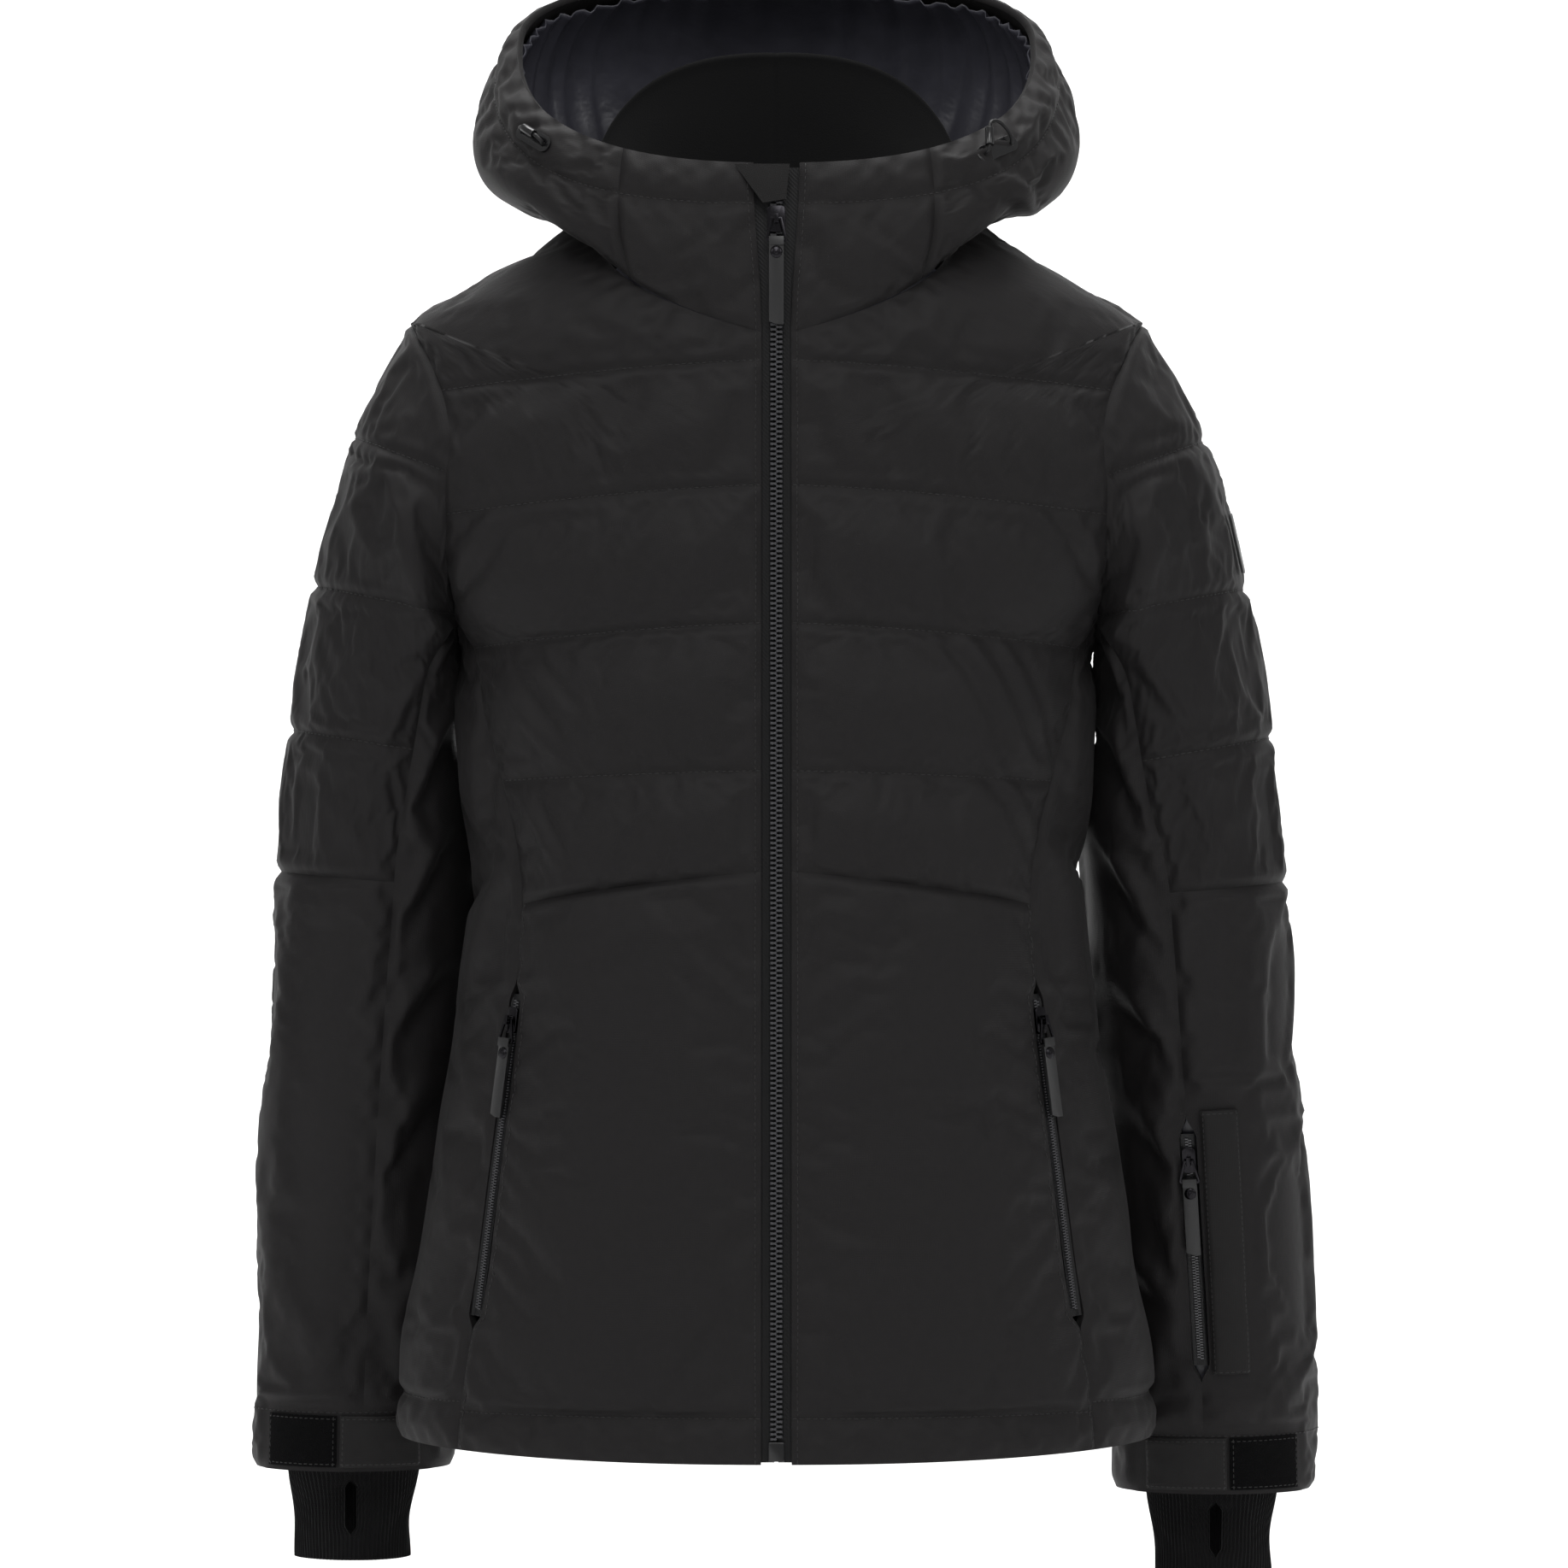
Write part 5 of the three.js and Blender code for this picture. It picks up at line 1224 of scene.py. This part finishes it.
def facing_point(angle, rise):
    """From the neck seam up to a crown that is highest in its middle: straight lines between two ovals."""
    angle, rise = np.broadcast_arrays(np.asarray(angle, float), np.asarray(rise, float))
    x0, y0 = ring(angle, NECK_HALF - FACING_INSET, 74, 62, FACING_ROUND)
    x1, y1 = ring(angle, 106, 74, 72, 2)
    t = rise / 100
    crown_z = NECK + 4 + 90 * np.clip(1 - (np.abs(angle - 180) / 80) ** 2.4, 0, 1)
    return np.stack([mix(x0, x1, t), mix(y0, y1, t), mix(NECK, crown_z, t)], -1)


def facing_lift(u, v, points):
    """A shallow crease down the middle where the jacket is folded, and a rolled top edge."""
    crease = -1.6 * np.exp(-((u - 0.5) / 0.012) ** 2) + 0.8 * np.exp(-((u - 0.5) / 0.05) ** 2)
    return -crease * smooth(0, 0.3, v) + 0.5 * crumple(u * 150, v * 90, 50, 77) - 1.0 * smooth(0.94, 1, v)


neck_facing, skin = thin_sheet("brushed_neck_facing", facing_point, lambda u, v: (mix(100, 260, u), 100 * v),
                               1.2, 3.0, 1, 0.0, facing_lift)
finish(neck_facing, BRUSHED, replaces=["neck_facing"])
flat_size(skin)
print("facing", flat_size(skin))

# %% [markdown]
# ## The stretch gaiters in the cuffs
# A gaiter is a tube of rib knit sewn in above the cuff, with a slit for the thumb. It is worked out
# round its own oval: the ribs are a fine ripple in its radius, and it narrows where it grips the wrist.

# %% Knit gaiters
gaiter_radius = through([(-50, 31.5), (-20, 32.8), (2, 36.5), (44, 42.8)])


def gaiter(word, side):
    """Rings of points: the radius of a height with a ripple of 84 ribs and long soft creases; the slit's edges part."""
    middle = (sleeves[word](0, STEPS) + sleeves[word](180, STEPS)) / 2
    turn, z = np.meshgrid(np.linspace(0, 2 * math.pi, 505), np.linspace(-50, 42, 62))
    slit = smooth(-37, -31, z) * (1 - smooth(-11, -6, z))
    parted = turn + np.where(turn < math.pi, 1, -1) * 0.11 * slit * np.exp(-np.minimum(turn, 2 * math.pi - turn) / 0.2)
    wave = 0.35 * np.cos(84 * turn) + 0.9 * np.sin(3 * turn + 0.06 * z + side) + 0.5 * np.sin(0.16 * z + 2 * turn)
    r = gaiter_radius(z) - 0.6 + wave - 1.2 * slit * np.exp(-((np.minimum(turn, 2 * math.pi - turn) / 0.25) ** 2))
    skins = []
    for depth in (0, 1.4):
        x, y = (r - depth) * np.sin(parted), -(r - depth) * 56 / 63 * np.cos(parted)
        skins.append(placed(np.stack([middle[0] + x, middle[1] + y, middle[2] + z], -1)) * (mirror if side < 0 else 1))
    piece = slab(f"knit_gaiter_{word}", skins[0], skins[1], flip=side < 0)
    finish(piece, KNIT, replaces=[f"wrist_gaiter_{word}"])
    flat_size(skins[0][:, ::4])
    return flat_size(skins[0][:, ::4])


print("gaiters", gaiter("left", 1), gaiter("right", -1))

# %% [markdown]
# ## Trim on the sleeves
# The cuff closes with a strap over a patch of pile, and the small pocket hides behind a raised welt.
# Each is a band of cloth on the sleeve's own surface, so it bends with the sleeve, and its edges are
# sewn down with a row of thread.

# %% Bands on the sleeve
LIFT = 0.9


def degrees(width):
    """The turn that spans a width on a sleeve 108 mm wide."""
    return math.degrees(width / (SLEEVE_WIDE / 2))


def sleeve_band(name, word, turns, downs, thick, material, body, node, lift=None, spacing=2.0):
    side = 1 if word == "left" else -1
    place = lambda u, v: (mix(turns[0], turns[1], u), mix(downs[0], downs[1], v))
    rounded = lambda u, v, p: (lift(u, v, p) if lift else 0) - 0.5 * thick * (1 - smooth(
        0, 1.2, np.minimum.reduce(border_distances(p))))
    piece, skin = thin_sheet(name, sleeves[word], place, thick, spacing, -1, -(LIFT + thick), rounded, side,
                             flip=side > 0)
    finish(piece, material, body, [node])
    ways = border_distances(skin * 1000)
    out = unit(np.cross(np.gradient(skin, axis=1), np.gradient(skin, axis=0))) * -side
    rows = [(trace(skin, ways[k] - 1.8), trace(out, ways[k] - 1.8)) for k in (2, 3)]
    rows += [(trace(s, w - 1.8), trace(o, w - 1.8)) for s, o, w in
             [[np.swapaxes(g, 0, 1) for g in (skin, out, ways[k])] for k in (0, 1)]]
    points, face = spindles(rows, 0.0022, 0.0008, 0.00026)
    thread = mesh_of(f"{name}_stitches", points, face)
    finish(thread, THREAD, body)
    return piece, skin


FREE_END, TOP, LOW = -84.0, STEPS - 27 / 55, STEPS - 0.04
for word in ("left", "right"):
    sleeve_band(f"pile_cuff_patch_{word}", word, (FREE_END + 1, FREE_END + degrees(44)), (TOP, LOW), 1.4, PILE,
                "root", f"cuff_patch_{word}", lambda u, v, p: 0.25 * crumple(u * 44, v * 27, 2.2, 5))
    sleeve_band(f"cuff_strap_{word}", word, (FREE_END - degrees(46), FREE_END - 1), (TOP, LOW), 2.0, TRIM_CLOTH,
                f"cuff_tab_{word}", f"cuff_tab_{word}",
                lambda u, v, p: 0.35 * crumple(u * 46, v * 27, 14, 6))
welt_start = degrees(POCKET_OPENING / 2 + 2) - float(seam_turn(7.25))
welt, skin = sleeve_band("sleeve_pocket_welt_cloth", "left", (welt_start, welt_start + degrees(20)),
                         (POCKET_FROM - 0.15, POCKET_TO + 0.05), 3.0, TRIM_CLOTH, "root",
                         "sleeve_pocket_welt", lambda u, v, p: 0.5 * np.sin(math.pi * u) + 0.3 * crumple(u * 20, v * 90, 18, 8))
print("welt", flat_size(skin))

# %% [markdown]
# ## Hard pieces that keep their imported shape
# Sliders, wires, tabs, the box at the foot of the zip, the oval plates and the barrels already have
# their real shape in the frame. Each is copied, its loose triangles are merged, and a small bevel
# rounds its edges as moulding or die casting does, because a sharp edge never catches the light.

# %% Rounded copies
def rounded_copy(node, name, material, body, bevel, segments=2):
    """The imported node's mesh, merged and cleaned of flat inner edges, with a bevel in millimetres."""
    work = bmesh.new()
    work.from_mesh(bpy.data.objects[node].data)
    bmesh.ops.remove_doubles(work, verts=work.verts, dist=1e-6)
    bmesh.ops.dissolve_limit(work, angle_limit=math.radians(2), verts=work.verts, edges=work.edges)
    mesh = bpy.data.meshes.new(name)
    work.to_mesh(mesh)
    work.free()
    piece = bpy.data.objects.new(name, mesh)
    bpy.context.scene.collection.objects.link(piece)
    corner = np.empty(len(mesh.loops), np.int32)
    mesh.loops.foreach_get("vertex_index", corner)
    place = np.empty(len(mesh.vertices) * 3, np.float32)
    mesh.vertices.foreach_get("co", place)
    place = place.reshape(-1, 3)[corner]
    for old in list(mesh.uv_layers):
        mesh.uv_layers.remove(old)
    mesh.uv_layers.new(name="cloth").data.foreach_set("uv", (place[:, [0, 2]] + place[:, [1, 1]] * [0.7, 0]).ravel())
    mesh.polygons.foreach_set("use_smooth", np.ones(len(mesh.polygons), bool))
    edge_round = piece.modifiers.new("rounded edges", "BEVEL")
    edge_round.width, edge_round.segments = bevel / 1000, segments
    edge_round.limit_method, edge_round.angle_limit = "ANGLE", math.radians(35)
    edge_round.harden_normals = True
    return finish(piece, material, body, [node])


PULLS = ("main", "pocket_right", "pocket_left", "sleeve_pocket")
for pull in PULLS:
    rounded_copy(f"{pull}_slider", f"{pull}_cast_slider", NICKEL, f"{pull}_slider", 0.32)
    rounded_copy(f"{pull}_pull_link", f"{pull}_wire_link", NICKEL, f"{pull}_pull", 0.42, 3)
    rounded_copy(f"{pull}_pull_tab", f"{pull}_rubber_tab", RUBBER, f"{pull}_pull", 0.3)
rounded_copy("zip_box", "moulded_zip_box", ACETAL, "root", 0.5, 3)
rounded_copy("sleeve_badge", "rubber_badge", RUBBER, "root", 0.4, 3)
rounded_copy("hanger_loop", "neck_hanger_loop", TRIM_CLOTH, "root", 0.3)
for word in ("left", "right"):
    rounded_copy(f"eyelet_plate_{word}", f"oval_eyelet_plate_{word}", ACETAL, "root", 0.35, 3)
    rounded_copy(f"cord_lock_{word}", f"barrel_lock_{word}", ACETAL,
                               f"cord_lock_{word}", 0.6, 3)
    cord, path = cords[word]
    tuple(path[0])
    [tuple(p) for p in path]

# %% [markdown]
# ## Zips
# A zip has its own straight frame: across, into the body, and up along the teeth. The front zip is a
# moulded one, whose acetal teeth are cast onto the tape's edge one by one and mesh head into gap, so
# the two sides are half a pitch apart. The pocket zips are the same in a smaller size.

# %% Frames and teeth
def zip_frame(bottom, top, inward):
    """Origin, axes as rows (across, in, up) and the length between two points, all in millimetres."""
    up = unit(top - bottom)
    x = unit(np.cross(inward, up))
    return bottom, np.stack([x, np.cross(up, x), up]), float(np.linalg.norm(top - bottom))


TOOTH = np.array([(3.3, -0.8), (1.6, -0.72), (1.15, -0.42), (0.55, -0.92), (-0.3, -0.6), (-0.3, 0.6),
                  (0.55, 0.92), (1.15, 0.42), (1.6, 0.72), (3.3, 0.8)])


def tooth_row(side, heights, front, back, scale=1.0):
    """Moulded teeth at the given heights: a head and shoulders outline, extruded and chamfered in front."""
    n = len(TOOTH)
    middle = TOOTH.mean(0)
    inset = middle + (TOOTH - middle) * 0.8
    rings = [(TOOTH, back), (TOOTH, front + 0.45 * scale), (inset, front)]
    shape = np.concatenate([np.stack([o[:, 0] * scale * side, np.full(n, y), o[:, 1] * scale], -1) for o, y in rings])
    k = np.arange(n)
    j = (k + 1) % n
    walls = np.concatenate([np.stack([k + r, j + r, j + r + n, k + r + n], -1) for r in (0, n)])
    caps = np.stack([k[::-1], k + 2 * n])
    count = len(heights)
    points = shape[None] + np.stack([0 * heights, 0 * heights, heights], -1)[:, None]
    first = (3 * n * np.arange(count))[:, None, None]
    turned = slice(None, None, -1 if side > 0 else 1)
    return points.reshape(-1, 3), [(first + walls[:, turned]).reshape(-1, 4), (first + caps[:, turned]).reshape(-1, n)]


def set_in(zip_axes, points):
    """From a zip's own frame to the frame's metres."""
    origin, axes, _ = zip_axes
    return placed(origin + points @ axes)


def band(name, zip_axes, x, z, y0, y1, bulge=None, spacing=3.0):
    """A flat closed strip in a zip's frame between two widths and heights, with an optional swell."""
    u, v = np.meshgrid(np.linspace(*x, int(abs(x[1] - x[0]) / 1.0) + 3), np.linspace(*z, int((z[1] - z[0]) / spacing) + 2))
    swell = bulge(u, v) if bulge else 0 * u
    front = set_in(zip_axes, np.stack([u, y0 - swell, v], -1))
    back = set_in(zip_axes, np.stack([u, y1 + 0 * u, v], -1))
    return slab(name, front, back), front


def front_of(z):
    return np.array([0.0, -front_depth(z), z])


main_zip = zip_frame(front_of(HEM), front_of(RIM_FRONT), np.array([0.0, 1.0, 0.0]))
zip_length = main_zip[2]
TEETH_BACK, TEETH_FRONT, TAPE_Y, PITCH = 7.1, 3.3, 7.4, 2.6
chain = np.arange(13.2, zip_length - 3, PITCH)
for word, side in (("left", 1), ("right", -1)):
    points, face = tooth_row(side, chain + (PITCH / 2 if side > 0 else 0), TEETH_FRONT, TEETH_BACK)
    teeth = mesh_of(f"moulded_teeth_{word}", set_in(main_zip, points), face, smooth_faces=False)
    # The teeth's lighter colour is a painted highlight.
    finish(teeth, ACETAL_TEETH_PAINTED_HIGHLIGHT, replaces=[f"zip_teeth_{word}"])
    x = (1.0, 14.0) if side > 0 else (-14.0, -1.0)
    bead = lambda u, v: 0.28 * np.exp(-((np.abs(u) - 4.2) / 0.5) ** 2) + 0.12 * np.exp(-((np.abs(u) - 7) / 0.4) ** 2)
    tape, skin = band(f"woven_zip_tape_{word}", main_zip, x, (1, zip_length - 2), TAPE_Y, TAPE_Y + 0.8, bead)
    finish(tape, TAPE_CLOTH, replaces=[f"zip_tape_{word}"])
    flat_size(skin)
print("front teeth", 2 * len(chain), "tape", flat_size(skin))

# %% The storm flap behind the zip and the cloth guard at its top
FLAP_FRONT = 11.7
flap, skin = band("storm_flap_cloth", main_zip, (-24, 12), (6, zip_length - 8), FLAP_FRONT, FLAP_FRONT + 2,
                  lambda u, v: 0.8 * np.sin(math.pi * (u + 24) / 36) + 0.2 * np.sin(v / 9), 4.0)
finish(flap, TRIM_CLOTH, replaces=["storm_flap"])
flat_size(skin)
GUARD = np.array([(-7, 656), (5, 658), (7, zip_length - 1), (-22, zip_length - 1)], float)
u, v = np.meshgrid(np.linspace(0, 1, 22), np.linspace(0, 1, 24))
corner = [mix(GUARD[0][k], GUARD[1][k], u) * (1 - v) + mix(GUARD[3][k], GUARD[2][k], u) * v for k in (0, 1)]
sag = 0.5 * np.sin(math.pi * u) * np.sin(math.pi * v)
guard = slab("zip_guard_cloth", set_in(main_zip, np.stack([corner[0], -2.1 - sag, corner[1]], -1)),
             set_in(main_zip, np.stack([corner[0], -0.9 + 0 * u, corner[1]], -1)))
finish(guard, TRIM_CLOTH, replaces=["zip_garage"])
print("flap", flat_size(skin))

# %% Pocket zips
def pocket_zip(name, axes):
    """A band of woven tape set into the opening, and two rows of small teeth."""
    length = axes[2]
    tape, skin = band(f"{name}_tape", axes, (-4.3, 4.3), (0, length), 3.4, 4.0,
                      lambda u, v: 0.9 * smooth(3.4, 4.3, np.abs(u)))
    finish(tape, TAPE_CLOTH, replaces=[f"{name}_zip"])
    heights = np.arange(4, length - 3, 1.5)
    for k, side in enumerate((1, -1)):
        points, face = tooth_row(side, heights + 0.75 * k, 2.3, 3.5, 0.56)
        teeth = mesh_of(f"{name}_teeth_{k + 1}", set_in(axes, points), face, smooth_faces=False)
        # The teeth's lighter colour is a painted highlight.
        finish(teeth, ACETAL_TEETH_PAINTED_HIGHLIGHT)


def mirrored_point(angle, z, side):
    return body_point(angle, z) * [side, 1, 1]


pocket_frames = {"main": main_zip}
for word, side in (("left", 1), ("right", -1)):
    inward = -outward(body_point, np.array(PRINCESS), np.array((POCKET_BOTTOM + POCKET_TOP) / 2)) * [side, 1, 1]
    pocket_frames[f"pocket_{word}"] = zip_frame(mirrored_point(PRINCESS, POCKET_BOTTOM, side),
                                                mirrored_point(PRINCESS, POCKET_TOP, side), inward)
sleeve = sleeves["left"]
at = [np.array(float(POCKET_TO)), np.array(float(POCKET_FROM)), np.array((POCKET_FROM + POCKET_TO) / 2)]
inward = -outward(sleeve, -seam_turn(at[2]), at[2], -1)
pocket_frames["sleeve_pocket"] = zip_frame(sleeve(-seam_turn(at[0]), at[0]), sleeve(-seam_turn(at[1]), at[1]), inward)
for name in PULLS[1:]:
    pocket_zip(name, pocket_frames[name])
    print(name, "zip", round(pocket_frames[name][2], 1), "mm")

# %% Dome rivets on the tabs
def dome(name, axes, centre, radius, height, body):
    """A rivet head: radius sin(t) and height cos(t) revolved, on a short foot, closed at both poles."""
    t = np.linspace(0, math.pi / 2, 8)
    r = np.concatenate([[0], radius * np.sin(t)[1:], [radius, radius * 0.8, 0]])
    h = np.concatenate([[height], height * np.cos(t)[1:], [-0.3, -0.4, -0.4]])
    turn = np.linspace(0, 2 * math.pi, 24, endpoint=False)
    rings = np.stack(np.broadcast_arrays(r[1:-1, None] * np.cos(turn), -h[1:-1, None], r[1:-1, None] * np.sin(turn)), -1)
    n = len(r) - 2
    points = np.concatenate([rings.reshape(-1, 3), [[0, -h[0], 0], [0, -h[-1], 0]]]) + centre
    k = np.arange(24)
    top = np.stack([np.full(24, n * 24), (k + 1) % 24, k], -1)
    foot = np.stack([np.full(24, n * 24 + 1), (n - 1) * 24 + k, (n - 1) * 24 + (k + 1) % 24], -1)
    face = [quads(n, 24, wrap=True)[:, ::-1], top, foot]
    piece = mesh_of(name, set_in(axes, points), [f[:, ::-1] for f in face])
    return finish(piece, NICKEL, body)


for pull in PULLS:
    axes = pocket_frames[pull]
    height = 648 if pull == "main" else axes[2] - 14
    depth = (TEETH_FRONT - 2.3 if pull == "main" else 0.5) - 2 - 1.0
    dome(f"{pull}_rivet", axes, np.array([0, depth, height - 11.4 - 6.2]), 3.2, 1.2, f"{pull}_pull")
    dome(f"{pull}_rivet_eye", axes, np.array([0, depth - 1.15, height - 11.4 - 6.2]), 1.3, 0.35, f"{pull}_pull")
